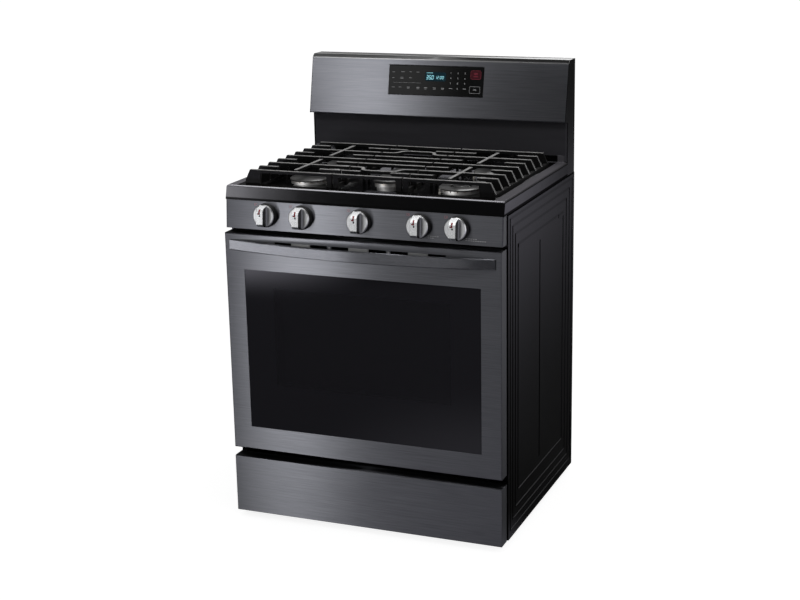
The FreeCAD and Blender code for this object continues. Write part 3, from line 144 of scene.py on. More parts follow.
class Finish(Shading):
    """One procedural material, built from the object's own coordinates."""

    def __init__(self, name):
        super().__init__(bpy.data.materials.new(name))
        self.place = self.node("TexCoord", output="Object")

    def axis(self, name):
        """One coordinate of the object, in metres."""
        return self.node("SeparateXYZ", None, {0: self.place}, name)

    def scaled(self, x, y, z):
        """The object's coordinates times a factor along each axis."""
        return self.node("VectorMath", {"operation": "MULTIPLY"}, {0: self.place, 1: (x, y, z)})

    def noise(self, x, y=None, z=None, detail=3.0, rough=0.5):
        """Cloudy value from 0 to 1 with about x, y and z lumps a metre along the axes."""
        where = self.scaled(x, x if y is None else y, x if z is None else z)
        sockets = {"Vector": where, "Scale": 1.0, "Detail": detail, "Roughness": rough}
        return self.node("TexNoise", None, sockets)

    def cells(self, per_metre, output="Distance"):
        """Distance to the nearest of evenly scattered points, as a share of their spacing."""
        return self.node("TexVoronoi", None, {"Vector": self.place, "Scale": per_metre}, output)

    def cell_tone(self, per_metre):
        """A random value from 0 to 1 for each of the same scattered points."""
        return self.node("SeparateColor", None, {0: self.cells(per_metre, "Color")}, "Red")

    def specks(self, per_metre, size, kept):
        """1 in round specks, fading between two sizes, on scattered points whose tone is high enough."""
        return (1 - self.cells(per_metre).rise(*size)) * self.cell_tone(per_metre).rise(*kept)

    def mix(self, factor, low, high):
        """Colour from low to high as the factor goes from 0 to 1."""
        low, high = (end if isinstance(end, Signal) else (*end, 1.0) for end in (low, high))
        sockets = {FACTOR: factor, COLOUR_A: low, COLOUR_B: high}
        return self.node("Mix", {"data_type": "RGBA"}, sockets, MIXED_COLOUR)

    def bump(self, height, depth, strength):
        """Normal of a relief that is depth metres deep where height goes from 0 to 1."""
        return self.node("Bump", None, {"Height": height, "Distance": depth, "Strength": strength})

    def coating(self, **sockets):
        """A Principled shader with the given sockets, their names spelt with _ for each space."""
        named = {key.replace("_", " "): value for key, value in sockets.items()}
        return self.node("BsdfPrincipled", None, named)

    def surface(self, shade=None, **sockets):
        """Close the finish with a Principled shader, turned into a dull black painted shade where shade is 1."""
        shader = self.coating(**sockets)
        if shade is not None:
            # Painted shade: a dull black shader that the shade mask mixes in.
            soot_and_painted_shade = self.coating(Base_Color=(*grey(0.003), 1.0), Roughness=1.0, Specular_IOR_Level=0.0)
            shader = self.node("MixShader", None, {0: shade, 1: shader, 2: soot_and_painted_shade})
        self.node("OutputMaterial", None, {"Surface": shader})
        return self.owner


def grey(value, warm=0.0):
    """Linear colour from a lightness of 0 to 1, slightly warmer or, below 0, cooler."""
    return (value * (1 + warm), value, value * (1 - warm))


# ---------------------------------------------------------------- finishes of the sheet metal

def black_stainless(name="black_stainless", painted_highlight=()):
    """Dark brushed stainless: fine grain along X over faint, broad streaks, paler where patches of painted
    highlight are given.

    A patch of painted highlight is given as x from, x to, z from and z to.
    """
    f = Finish(name)
    x, z = f.axis("X"), f.axis("Z")
    fine = f.noise(14.0, 1400.0, 1400.0, 2.0, 0.6)
    streak = f.noise(3.0, 330.0, 330.0, 2.0)
    cloud = f.noise(5.0, 7.0, 7.0, 2.0)
    tone = fine * 0.6 + streak * 0.25 + cloud * 0.15
    steel = f.mix(tone.rise(0.2, 0.8), (0.0842, 0.0857, 0.0945), (0.148, 0.151, 0.1665))
    # Painted highlight: the given patches are mixed towards pale steel.
    if painted_highlight:
        pale = largest([x.within(x0, x1, MM) * z.within(z0, z1, 0.5 * MM) for x0, x1, z0, z1 in painted_highlight])
        steel = f.mix(pale * (fine * 0.4 + 0.6), steel, grey(0.32))
    return f.surface(Base_Color=steel, Metallic=0.96, Roughness=fine * 0.06 + cloud * 0.03 + 0.305,
                     Normal=f.bump(fine * 0.8 + streak * 0.2, 0.004 * MM, 0.3),
                     Anisotropic=1.0, Anisotropic_Rotation=0.25, Coat_Weight=0.04, Coat_Roughness=0.2)


# Each pressed step of a side panel, in mm: in from its front and rear, up from its foot, down from its top.
SIDE_STEPS = ((17, 22, 13), (41, 44, 36), (66, 68, 61), (92, 107, 93))


def side_enamel():
    """Satin black baked paint with a slight orange peel, and painted shade along the pressed steps, the crease and
    the top seam.
    """
    f = Finish("side_enamel")
    y, z = f.axis("Y"), f.axis("Z")
    low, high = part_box("side_panel_right")
    # Painted shade: dull black lines along each pressed step, the crease and the top seam.
    lines = []
    for inset, up, down in SIDE_STEPS:
        front, rear, top = low[1] + inset * MM, high[1] - inset * MM, high[2] - down * MM
        upright = y.within(front - 5.5 * MM, front + 5.5 * MM, MM) * z.within(low[2] + up * MM, top, MM)
        level = z.within(top - 3 * MM, top + MM, 4 * MM) * y.within(front, rear, MM) * 0.25
        lines += [upright, level]
    crease = y.within(26 * MM, 34 * MM, 0.5 * MM) * z.within(low[2] + 131 * MM, high[2] - 125 * MM, MM)
    top_seam = z.rise(high[2] - 4 * MM, high[2] - 3 * MM)
    peel = f.noise(420.0, detail=2.0)
    dust = f.noise(14.0, 14.0, 5.0, 4.0)
    return f.surface(Base_Color=f.mix(dust, grey(0.002), grey(0.005, -0.04)), Metallic=0.0,
                     shade=largest(lines + [top_seam, crease]) * 0.97,
                     Roughness=dust * 0.03 + peel * 0.03 + 0.17, Specular_IOR_Level=0.34,
                     Specular_Tint=(0.9, 0.88, 1.0, 1.0), Normal=f.bump(peel, 0.02 * MM, 0.4))


def zinc_coat(f):
    """Spangle and rolling marks of a zinc coating, and the colour that they give it."""
    spangle = f.cell_tone(90.0)
    rolled = f.noise(260.0, 260.0, 3.0, 3.0)
    return spangle, rolled, f.mix(spangle * 0.6 + rolled * 0.4, grey(0.33, -0.02), grey(0.56, -0.02))


def galvanised_steel():
    """Zinc-coated sheet: flat crystals of spangle with different sheen, and rolling marks."""
    f = Finish("galvanised_steel")
    spangle, rolled, zinc = zinc_coat(f)
    return f.surface(Base_Color=zinc, Metallic=0.9, Roughness=spangle * 0.18 + rolled * 0.1 + 0.3,
                     Normal=f.bump(rolled, 0.02 * MM, 0.3))


def black_enamel():
    """Gloss black porcelain with faint waves and fine pale specks.

    It has a dull black painted shade in the seam below, a painted highlight that greys the front and side rims,
    and is less glossy at the sides.
    """
    f = Finish("black_enamel")
    x, y, z = f.axis("X"), f.axis("Y"), f.axis("Z")
    low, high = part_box("cooktop")
    # Painted shade: the seam at the foot of the cooktop goes dull black.
    seam = 1 - z.rise(low[2] + 5 * MM, low[2] + 7 * MM)
    rim = z.rise(low[2] + 32 * MM, low[2] + 35 * MM)
    front = (1 - y.rise(low[1] + 2.2 * MM, low[1] + 14.2 * MM)) * rim
    side = x.math("ABSOLUTE").rise(high[0] - 30 * MM, high[0] - 27 * MM) * rim
    wave = f.noise(38.0, detail=2.0)
    black = f.mix(f.specks(900.0, (0.1, 0.22), (0.86, 0.9)), grey(0.001), grey(0.012, -0.05))
    # Painted highlight: the front and side rims are mixed towards grey.
    wiped_and_painted_highlight = largest([side, front]) * (wave * 0.4 + 0.6)
    return f.surface(Base_Color=f.mix(wiped_and_painted_highlight, black, (0.05, 0.048, 0.053)), Metallic=0.0,
                     shade=seam * 0.9, Roughness=wave * 0.04 + side * 0.2 + 0.11, Specular_IOR_Level=0.47,
                     Specular_Tint=(0.93, 0.92, 1.0, 1.0), Normal=f.bump(wave, 0.08 * MM, 0.4))


def guard_black():
    """Satin black sheet below the backguard's leaning panel, a little streaked from wiping."""
    f = Finish("guard_black")
    wiped_and_painted_highlight = f.noise(4.0, 60.0, 60.0, 3.0)
    peel = f.noise(500.0, detail=2.0)
    return f.surface(Base_Color=f.mix(wiped_and_painted_highlight, (0.031, 0.03, 0.035), (0.046, 0.045, 0.052)), Metallic=0.0,
                     Roughness=wiped_and_painted_highlight * 0.1 + 0.45, Specular_IOR_Level=0.35,
                     Normal=f.bump(peel, 0.02 * MM, 0.4))


def housing_sheet():
    """Backguard housing: black painted ends, bare spangled zinc on the back."""
    f = Finish("housing_sheet")
    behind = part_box("backguard_housing")[1][1]
    bare = f.axis("Y").rise(behind - 1.4 * MM, behind - MM)
    spangle, rolled, zinc = zinc_coat(f)
    paint = f.mix(rolled, grey(0.004), grey(0.009))
    return f.surface(Base_Color=f.mix(bare, paint, zinc), Metallic=bare * 0.9, Specular_IOR_Level=0.35,
                     Roughness=bare * (spangle * 0.1 + 0.1) + rolled * 0.06 + 0.2,
                     Normal=f.bump(rolled, 0.02 * MM, 0.3))


def oven_enamel():
    """Blue-black porcelain with two sizes of pale speck."""
    f = Finish("oven_enamel")
    fine = f.specks(620.0, (0.14, 0.3), (0.6, 0.66))
    coarse = f.specks(300.0, (0.1, 0.2), (0.8, 0.85))
    wave = f.noise(60.0, detail=2.0)
    speckled = f.mix((fine + coarse).rise(0.0, 1.0), (0.011, 0.013, 0.022), (0.16, 0.18, 0.23))
    return f.surface(Base_Color=speckled, Metallic=0.0, Roughness=wave * 0.1 + 0.2,
                     Normal=f.bump(wave, 0.06 * MM, 0.4))


def drawer_paint():
    """Thin matt dark paint on pressed sheet, worn lighter in streaks along the travel."""
    f = Finish("drawer_paint")
    rub = f.noise(120.0, 4.0, 120.0, 3.0).rise(0.5, 0.8)
    grain = f.noise(700.0, detail=2.0)
    return f.surface(Base_Color=f.mix(rub * 0.5 + grain * 0.2, grey(0.022), grey(0.06)), Metallic=0.1,
                     Roughness=grain * 0.1 + 0.48, Normal=f.bump(grain, 0.02 * MM, 0.5))


def door_glass():
    """Tinted pane: an opaque black printed border, its edge in dots, round a dark see-through window."""
    f = Finish("door_glass")
    x, z = f.axis("X"), f.axis("Z")
    low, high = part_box("door_glass_inner")
    half, bottom, top = high[0] - 22 * MM, low[2] + 28 * MM, high[2] - 24 * MM
    clear = x.within(-half, half, 6 * MM) * z.within(bottom, top, 8 * MM)
    ends = x.within(-half - 6 * MM, half + 6 * MM, 0.5 * MM)
    dotted = ends * z.within(bottom - 8 * MM, top + 6 * MM, 0.5 * MM) - clear
    dots = dotted.rise(0.0, 1.0) * (1 - f.cells(700.0).rise(0.25, 0.4))
    wave = f.noise(3.0, detail=1.0)
    return f.surface(Base_Color=f.mix(clear, (0.0275, 0.0265, 0.033), (0.033, 0.032, 0.039)), Metallic=0.0,
                     Roughness=wave * 0.02 + 0.035, Specular_IOR_Level=0.4,
                     Alpha=1 - clear * 0.3 - dots * 0.2, Normal=f.bump(wave, 0.1 * MM, 0.2))


def display_black_glass():
    """Black lens of the key field with a faint smoky depth."""
    f = Finish("display_black_glass")
    smoke = f.noise(16.0, detail=2.0)
    return f.surface(Base_Color=f.mix(smoke, grey(0.0008), grey(0.002, -0.1)), Metallic=0.0,
                     Roughness=smoke * 0.05 + 0.12, Specular_IOR_Level=0.5,
                     Normal=f.bump(smoke, 0.04 * MM, 0.2))


# ---------------------------------------------------------------- finishes of the castings and small parts

def knob_silver():
    """Satin silver grip on a dark skirt ring, with fine brushing, dark flanks and a smoother bar.

    Reach is the distance out along the knob's axis, and nearest the distance aside from the closest axis.
    """
    f = Finish("knob_silver")
    x, y, z = f.axis("X"), f.axis("Y"), f.axis("Z")
    reach = (y - KNOB_SEAT.y) * KNOB_AXIS.y + (z - KNOB_SEAT.z) * KNOB_AXIS.z
    skirt = 1 - reach.rise(16.6 * MM, 17.2 * MM)
    bar = reach.rise(21.0 * MM, 22.0 * MM)
    aside = [(x - TAPS[place]["pos_m"][0]).math("ABSOLUTE") for place in PLACES]
    nearest = functools.reduce(lambda a, b: a.math("MINIMUM", b), aside)
    flank = nearest.within(9.3 * MM, 10.6 * MM, 0.3 * MM) * reach.within(27.0 * MM, 41.0 * MM, 3.0 * MM)
    dark = largest([skirt, flank])
    grain = f.noise(900.0, detail=2.0)
    brushed = f.noise(1500.0, 60.0, 60.0, 2.0)
    silver = f.mix(grain * 0.5 + brushed * 0.5, grey(0.5, -0.01), grey(0.6, -0.01))
    return f.surface(Base_Color=f.mix(dark, silver, grey(0.012)), Metallic=1 - dark * 0.6,
                     Roughness=skirt * 0.1 + brushed * 0.1 - bar * 0.05 + 0.26,
                     Normal=f.bump(brushed, 0.01 * MM, 0.4))


def grate_iron():
    """Matt black enamelled iron: sand-cast pimples, and a painted highlight that makes the cooking plane a little
    lighter in patches.
    """
    f = Finish("grate_iron")
    z, top = f.axis("Z"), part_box("grate_left")[1][2]
    sand = f.noise(520.0, detail=4.0, rough=0.65)
    lumps = f.noise(90.0, detail=2.0)
    # Painted highlight: the top of the bars is lighter, in patches.
    painted_highlight = z.rise(top - 1.2 * MM, top - 0.2 * MM) * (f.noise(60.0, detail=3.0).rise(0.2, 0.6) * 0.6 + 0.4)
    black = f.mix(sand, grey(0.002, 0.03), grey(0.008, 0.02))
    return f.surface(Base_Color=f.mix(painted_highlight, black, grey(0.19, 0.01)), Metallic=0.0,
                     Roughness=sand * 0.16 + 0.3, Specular_IOR_Level=0.4,
                     Normal=f.bump(sand * 0.6 + lumps * 0.4, 0.08 * MM, 0.4))


def cap_enamel():
    """Satin black enamelled cap with fine pits and a slight greying towards its rim."""
    f = Finish("cap_enamel")
    z, top = f.axis("Z"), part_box("burner_cap_center")[1][2]
    pits = f.noise(700.0, detail=3.0)
    bloom = f.noise(45.0, detail=3.0) * (1 - z.rise(top - 4 * MM, top))
    return f.surface(Base_Color=f.mix(bloom + pits * 0.2, grey(0.03), grey(0.085, 0.02)), Metallic=0.0,
                     Roughness=pits * 0.14 + 0.3, Specular_IOR_Level=0.5,
                     Normal=f.bump(pits, 0.04 * MM, 0.5))


def burner_aluminium():
    """Cast aluminium: grainy foot, brighter machined crown, straw tint near the flame ports."""
    f = Finish("burner_aluminium")
    z, top = f.axis("Z"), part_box("burner_base_center")[1][2]
    grain = f.noise(650.0, detail=4.0, rough=0.6)
    crown = z.rise(top - 9.5 * MM, top - 8 * MM)
    ports = z.within(top - 3.5 * MM, top - 0.3 * MM, 1.5 * MM)
    heat = ports * f.noise(80.0, detail=3.0).rise(0.35, 0.7) * 0.35
    cast = f.mix(grain, grey(0.3, 0.01), grey(0.5, 0.01))
    turned = f.mix(grain, grey(0.52, 0.01), grey(0.72, 0.01))
    return f.surface(Base_Color=f.mix(heat, f.mix(crown, cast, turned), (0.33, 0.22, 0.12)), Metallic=0.95,
                     Roughness=0.48 - crown * 0.16 + grain * 0.12, Normal=f.bump(grain, 0.08 * MM, 0.5))


def cast_zinc():
    """Die-cast grey metal with a fine grain and dull patches."""
    f = Finish("cast_zinc")
    grain = f.noise(600.0, detail=3.0)
    dull = f.noise(50.0, detail=2.0)
    return f.surface(Base_Color=f.mix(grain * 0.5 + dull * 0.5, grey(0.26), grey(0.44)), Metallic=0.85,
                     Roughness=dull * 0.2 + grain * 0.1 + 0.3, Normal=f.bump(grain, 0.04 * MM, 0.4))


def gas_brass():
    """Turned brass with tool rings and a brown film."""
    f = Finish("gas_brass")
    rings = f.noise(60.0, 1600.0, 60.0, 2.0)
    film = f.noise(90.0, detail=3.0)
    return f.surface(Base_Color=f.mix(film, (0.62, 0.43, 0.16), (0.33, 0.21, 0.08)), Metallic=0.95,
                     Roughness=film * 0.2 + rings * 0.08 + 0.22, Normal=f.bump(rings, 0.02 * MM, 0.4))


def gas_pipe():
    """Drawn steel tube, dull zinc with lengthwise marks."""
    f = Finish("gas_pipe")
    drawn = f.noise(20.0, 500.0, 500.0, 2.0)
    film = f.noise(70.0, detail=3.0)
    return f.surface(Base_Color=f.mix(drawn * 0.4 + film * 0.6, grey(0.26), grey(0.47)), Metallic=0.9,
                     Roughness=film * 0.2 + drawn * 0.1 + 0.26, Normal=f.bump(drawn, 0.02 * MM, 0.4))


def aluminised_steel():
    """Burner tube sheet, pale metal gone brown and blue with heat in patches."""
    f = Finish("aluminised_steel")
    patch = f.noise(22.0, 12.0, 22.0, 4.0).rise(0.4, 0.68)
    grain = f.noise(500.0, detail=2.0)
    tinted = f.mix(f.noise(35.0, detail=2.0), (0.26, 0.18, 0.11), (0.16, 0.17, 0.22))
    return f.surface(Base_Color=f.mix(patch, f.mix(grain, grey(0.34), grey(0.5)), tinted), Metallic=0.85,
                     Roughness=grain * 0.12 + patch * 0.1 + 0.34, Normal=f.bump(grain, 0.03 * MM, 0.4))


def rack_chrome():
    """Bright plated wire, hazed where dishes slide along it."""
    f = Finish("rack_chrome")
    haze = f.noise(40.0, 9.0, 40.0, 3.0)
    return f.surface(Base_Color=f.mix(haze, grey(0.5), grey(0.68)), Metallic=1.0,
                     Roughness=haze * 0.22 + 0.12, Normal=f.bump(haze, 0.01 * MM, 0.3))


def gasket_fibre():
    """Woven glass-fibre rope: a crossed braid a few millimetres wide.

    Each braid is the sine of the place's product with a slanting direction, in radians a metre.
    """
    f = Finish("gasket_fibre")
    braids = []
    for way in (1.0, -1.0):
        across = (1300.0, 900.0 * way, 1300.0 * way)
        slant = f.node("VectorMath", {"operation": "DOT_PRODUCT"}, {0: f.place, 1: across}, "Value")
        braids.append(slant.math("SINE"))
    weave = (braids[0] * braids[1]).rise(-1.0, 1.0)
    fuzz = f.noise(1400.0, detail=3.0)
    return f.surface(Base_Color=f.mix(weave * 0.6 + fuzz * 0.4, grey(0.03), grey(0.14)), Metallic=0.0,
                     Roughness=fuzz * 0.1 + 0.82, Normal=f.bump(weave, 0.5 * MM, 0.8))


def lamp_glass():
    """Clear pressed glass of the oven lamp: 24 ribs, as a sine of the angle round its middle."""
    f = Finish("lamp_glass")
    low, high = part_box("oven_light")
    across, up = f.axis("X") - (low[0] + high[0]) / 2, f.axis("Z") - (low[2] + high[2]) / 2
    ribs = (across.math("ARCTAN2", up) * 24.0).math("SINE") * 0.5 + 0.5
    return f.surface(Base_Color=f.mix(ribs, grey(0.66, 0.03), grey(0.86, 0.02)), Metallic=0.0,
                     Roughness=ribs * 0.06 + 0.06, Alpha=ribs * 0.2 + 0.5,
                     Normal=f.bump(ribs, 0.5 * MM, 0.7))


def igniter_ceramic():
    """Glazed white electrode with a dark metal tip and a sooty shoulder."""
    f = Finish("igniter_ceramic")
    z, top = f.axis("Z"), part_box("burner_igniters")[1][2]
    tip = z.rise(top - 4.3 * MM, top - 3.9 * MM)
    soot_and_painted_shade = z.rise(top - 9 * MM, top - 4 * MM) * f.noise(300.0, detail=2.0)
    glaze = f.mix(soot_and_painted_shade, (0.72, 0.69, 0.62), (0.16, 0.13, 0.1))
    return f.surface(Base_Color=f.mix(tip, glaze, grey(0.28)), Metallic=tip,
                     Roughness=soot_and_painted_shade * 0.3 + tip * 0.2 + 0.14)


def module_plastic():
    """Dark moulded plastic with a fine spark-eroded texture."""
    f = Finish("module_plastic")
    grain = f.noise(1300.0, detail=3.0, rough=0.6)
    flow = f.noise(30.0, detail=2.0)
    return f.surface(Base_Color=f.mix(grain * 0.6 + flow * 0.4, grey(0.03), grey(0.06)), Metallic=0.0,
                     Roughness=grain * 0.15 + 0.5, Normal=f.bump(grain, 0.05 * MM, 0.5))


def leg_plastic():
    """Levelling leg: scuffed black foot, and a zinc-plated thread whose crests are a sine of the height."""
    f = Finish("leg_plastic")
    z = f.axis("Z")
    pitch = 1.5 * MM
    thread = z.rise(9.2 * MM, 9.6 * MM)
    crest = (z * (2 * math.pi / pitch)).math("SINE") * 0.5 + 0.5
    scuff = f.noise(180.0, detail=3.0) * (1 - z.rise(0.0, 5.0 * MM))
    foot = f.mix(scuff, grey(0.012), grey(0.08))
    plated = f.mix(crest, grey(0.2), grey(0.5))
    return f.surface(Base_Color=f.mix(thread, foot, plated), Metallic=thread * 0.9,
                     Roughness=0.55 - thread * 0.2 + scuff * 0.2,
                     Normal=f.bump(crest * thread, 0.6 * MM, 0.8))


def print_ink(name, colour, rough=0.5):
    """Screen-printed ink with a slightly uneven film."""
    f = Finish(name)
    film = f.noise(2500.0, detail=2.0)
    faint = tuple(0.8 * c for c in colour)
    return f.surface(Base_Color=f.mix(film, faint, colour), Metallic=0.0, Roughness=film * 0.1 + rough)


def lit_print(name, colour, strength):
    """Back-lit segment or legend behind the black glass."""
    f = Finish(name)
    bleed = f.noise(1800.0, detail=2.0)
    glow = f.mix(bleed, tuple(0.75 * c for c in colour), colour)
    return f.surface(Base_Color=glow, Roughness=bleed * 0.1 + 0.3, Emission_Color=glow,
                     Emission_Strength=strength)


def screw_steel():
    """Zinc-plated screw head with an uneven film."""
    f = Finish("screw_steel")
    film = f.noise(800.0, detail=2.0)
    return f.surface(Base_Color=f.mix(film, grey(0.34), grey(0.58)), Metallic=0.95,
                     Roughness=film * 0.15 + 0.25, Normal=f.bump(film, 0.02 * MM, 0.3))


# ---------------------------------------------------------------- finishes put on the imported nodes

FINISHES = {make.__name__: make() for make in (
    side_enamel, galvanised_steel, black_stainless, black_enamel, oven_enamel, drawer_paint, rack_chrome,
    aluminised_steel, gasket_fibre, lamp_glass, door_glass, display_black_glass, module_plastic, gas_brass,
    gas_pipe, cast_zinc, knob_silver, burner_aluminium, cap_enamel, igniter_ceramic, grate_iron,
    leg_plastic)}

# Patches of painted highlight: the lands between the vents of the door, and the fold along the top of the
# backguard.
DOOR_TOP, GUARD_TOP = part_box("door_skin")[1][2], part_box("backguard_panel")[1][2]
LANDS = [(x0 * MM, x1 * MM, DOOR_TOP - 29.5 * MM, DOOR_TOP - 17 * MM)
         for x0, x1 in ((-187.5, -134), (-28, 28), (134, 187.5))]
FOLD = [(cad_box[0][0], cad_box[1][0], GUARD_TOP - 9.8 * MM, GUARD_TOP + MM)]
OWN = {"backguard_lower_panel": guard_black(), "backguard_housing": housing_sheet(),
       "door_skin": black_stainless("door_steel", LANDS),
       "backguard_panel": black_stainless("guard_steel", FOLD)}

# Widths of the rounded edges: by finish, for other sheet, and for sheet so thin that more would tear it.
SOFT_EDGE = {"grate_iron": 1.3 * MM, "knob_silver": 0.5 * MM, "burner_aluminium": 0.3 * MM,
             "gas_brass": 0.3 * MM, "lamp_glass": 0.0, "gasket_fibre": 0.0, "cap_enamel": 0.0,
             "igniter_ceramic": 0.0, "rack_chrome": 0.0}
SHEET_EDGE = 0.6 * MM
THIN_EDGE = 0.25 * MM
THIN = ("oven_cavity", "side_panel_left", "side_panel_right", "backguard_lower_panel", "backguard_panel")


def soften(node, width):
    """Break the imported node's sharp edges with a small rounded bevel, and shade it by face area."""
    weld = node.modifiers.new("weld", "WELD")
    weld.merge_threshold = 0.002 * MM
    flat = node.modifiers.new("flat", "DECIMATE")
    flat.decimate_type = "DISSOLVE"
    flat.angle_limit = math.radians(0.5)
    bevel = node.modifiers.new("soft_edge", "BEVEL")
    bevel.width = width
    bevel.segments = 2
    bevel.limit_method = "ANGLE"
    bevel.angle_limit = math.radians(40)
    shade = node.modifiers.new("shade", "WEIGHTED_NORMAL")
    shade.keep_sharp = True


for part in frame["record"]["subparts"]:
    node = NODES[part["node"]]
    slot = part["material_slot"]
    node.data.materials.clear()
    node.data.materials.append(OWN.get(part["node"], FINISHES[slot]))
    width = THIN_EDGE if part["node"] in THIN else SOFT_EDGE.get(slot, SHEET_EDGE)
    if width:
        soften(node, width)


# ---------------------------------------------------------------- printing and lit legends

DETAILS = []


def shown(name, data):
    """A new object in the scene that holds the given mesh, curve, camera or light."""
    made = bpy.data.objects.new(name, data)
    bpy.context.scene.collection.objects.link(made)
    return made


def add_detail(mesh, material, body):
    """Show a mesh as a piece of the same name, in one material, that rides on the body."""
    mesh.materials.append(material)
    piece = shown(mesh.name, mesh)
    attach(piece, body)
    DETAILS.append(piece)


def rounded(x, y, width, height, corner):
    """Outline of a rectangle with rounded corners, four points to each, centred on x, y."""
    corner = max(corner, 0.01)
    quarter = np.radians(np.linspace(0, 90, 4))
    angles = np.concatenate([quarter + np.radians(90 * k) for k in range(4)])
    signs = np.repeat([(1, 1), (-1, 1), (-1, -1), (1, -1)], 4, axis=0)
    middle = signs * (width / 2 - corner, height / 2 - corner)
    return middle + corner * np.column_stack([np.cos(angles), np.sin(angles)]) + (x, y)


class Artwork:
    """Flat shapes on one plane, gathered in millimetres into a single thin mesh."""

    def __init__(self):
        self.points = np.empty((0, 2))
        self.faces = []

    def add(self, points, faces):
        start = len(self.points)
        self.points = np.vstack([self.points, points])
        self.faces += [tuple(start + i for i in face) for face in faces]

    def bar(self, x, y, width, height, round_off=0.25):
        """Rounded stroke centred on x, y."""
        outline = rounded(x, y, width, height, round_off * min(width, height))
        self.add(outline, [tuple(range(len(outline)))])

    def frame(self, x, y, width, height, stroke, corner):
        """Outline of a rounded key."""
        outer = rounded(x, y, width, height, corner)
        inner = rounded(x, y, width - 2 * stroke, height - 2 * stroke, corner - stroke)
        n = len(outer)
        self.add(np.vstack([outer, inner]), [(i, (i + 1) % n, n + (i + 1) % n, n + i) for i in range(n)])

    def letters(self, text, x, y, height):
        """Plain characters centred on x, y, with capitals of the given height."""
        curve = bpy.data.curves.new("letters", "FONT")
        curve.body = text
        curve.size = height / CAPITAL
        curve.resolution_u = 3
        curve.align_x, curve.align_y = "CENTER", "CENTER"
        holder = shown("letters", curve)
        bpy.context.view_layer.update()
        made = bpy.data.meshes.new_from_object(holder.evaluated_get(bpy.context.evaluated_depsgraph_get()))
        flat = np.empty(3 * len(made.vertices))
        made.vertices.foreach_get("co", flat)
        self.add(flat.reshape(-1, 3)[:, :2] + (x, y), [tuple(p.vertices) for p in made.polygons])
        bpy.data.objects.remove(holder)
        bpy.data.meshes.remove(made)

    def digit(self, segments, x, y, height, stroke, slant=0.12):
        """Seven-segment figure: the lit ones of the bars a to g, leaning to the right."""
        half, width = height / 2, height * 0.5
        middles = {"a": (0, half), "b": (1, half / 2), "c": (1, -half / 2), "d": (0, -half),
                   "e": (-1, -half / 2), "f": (-1, half / 2), "g": (0, 0)}
        for name in segments:
            across, up = middles[name]
            level = name in "adg"
            cut = stroke / 2
            run = (width if level else half) / 2 - 0.12 * stroke
            upper = [(-run, 0), (cut - run, cut), (run - cut, cut)]
            shape = np.array(upper + [(-along, -aside) for along, aside in upper])
            shape = shape if level else shape[:, ::-1]
            shape = shape + (across * width / 2, up)
            shape[:, 0] += shape[:, 1] * slant
            self.add(shape + (x, y), [tuple(range(6))])

    def lay(self, name, origin, right, up, material, body):
        """Make the mesh on the plane through origin that right and up span, and let it ride on the body."""
        right, up = np.array(right, float), np.array(up, float)
        points = np.array(origin, float) + MM * (self.points[:, :1] * right + self.points[:, 1:] * up)
        mesh = bpy.data.meshes.new(name)
        mesh.from_pydata(points.tolist(), [], self.faces)
        turned = bmesh.new()
        turned.from_mesh(mesh)
        turned.normal_update()
        outward = Vector(np.cross(right, up))
        inward = [face for face in turned.faces if face.normal.dot(outward) < 0]
        bmesh.ops.reverse_faces(turned, faces=inward)
        turned.to_mesh(mesh)
        turned.free()
        add_detail(mesh, material, body)


PALE_INK = print_ink("pale_ink", (0.6, 0.6, 0.61))
GREY_INK = print_ink("grey_ink", (0.5, 0.5, 0.51))
RED_INK = print_ink("red_ink", (0.27, 0.002, 0.008))
ROSE_INK = print_ink("rose_ink", (0.55, 0.2, 0.22), 0.4)
DARK_INK = print_ink("dark_ink", (0.008, 0.008, 0.009), 0.4)
CYAN_LIGHT = lit_print("cyan_light", (0.35, 0.8, 0.9), 0.75)
TEAL_GLOW = lit_print("teal_glow", (0.0, 0.011, 0.018), 0.7)
RED_LIGHT = lit_print("red_light", (0.24, 0.03, 0.05), 0.6)
DARK_RED = lit_print("dark_red", (0.04, 0.001, 0.005), 0.25)

DIGITS = {"0": "abcdef", "1": "bc", "2": "abged", "3": "abgcd", "5": "afgcd"}
# Height of the font's capitals as a share of its size, and the gap between a face and each layer of ink.
CAPITAL = 0.69
PROUD = 0.06 * MM
# The way up the leaning panel, and the height that artwork on the display is measured from.
LEAN = np.array((0.0, 33.0, 156.5)) / math.hypot(33.0, 156.5)
DISPLAY_FOOT = 1085 * MM


def just_off(node, up, height, layer=1):
    """Point on the middle line of a node's foremost flat face, at a height, with layers of ink below it."""
    up = np.array(up)
    out = np.cross((1.0, 0.0, 0.0), up)
    corners = np.empty(3 * len(NODES[node].data.vertices))
    NODES[node].data.vertices.foreach_get("co", corners)
    offset = (corners.reshape(-1, 3) @ out).max() + layer * PROUD
    along = (height - offset * out[2]) / up[2]
    return offset * out + along * up


def on_display(artwork, name, ink, layer=1):
    """Lay artwork on the display glass, its zero at the middle of the display's foot."""
    foot = just_off("display_glass", LEAN, DISPLAY_FOOT, layer)
    artwork.lay(name, foot, (1, 0, 0), LEAN, ink, "range_body")


def lit_readings():
    """Oven temperature and clock in lit segments over a faint glow, with a bar for the mode's caption."""
    glow = Artwork()
    glow.bar(-1.0, 52.5, 62.0, 25.0, 0.2)
    on_display(glow, "display_glow", TEAL_GLOW)
    lit = Artwork()
    middle = 50.5
    for figures, x, height, pitch in (("350", -25.5, 10.5, 7.8), ("1200", 0.5, 7.6, 6.0)):
        for i, figure in enumerate(figures):
            past_colon = 2.4 if len(figures) == 4 and i > 1 else 0.0
            lit.digit(DIGITS[figure], x + i * pitch + past_colon, middle, height, height * 0.13)
    for dy in (-1.6, 1.6):
        lit.bar(10.9, middle + dy, 0.9, 0.9)
    lit.bar(-18.5, 62.8, 19.0, 0.9)
    on_display(lit, "display_digits", CYAN_LIGHT, 2)


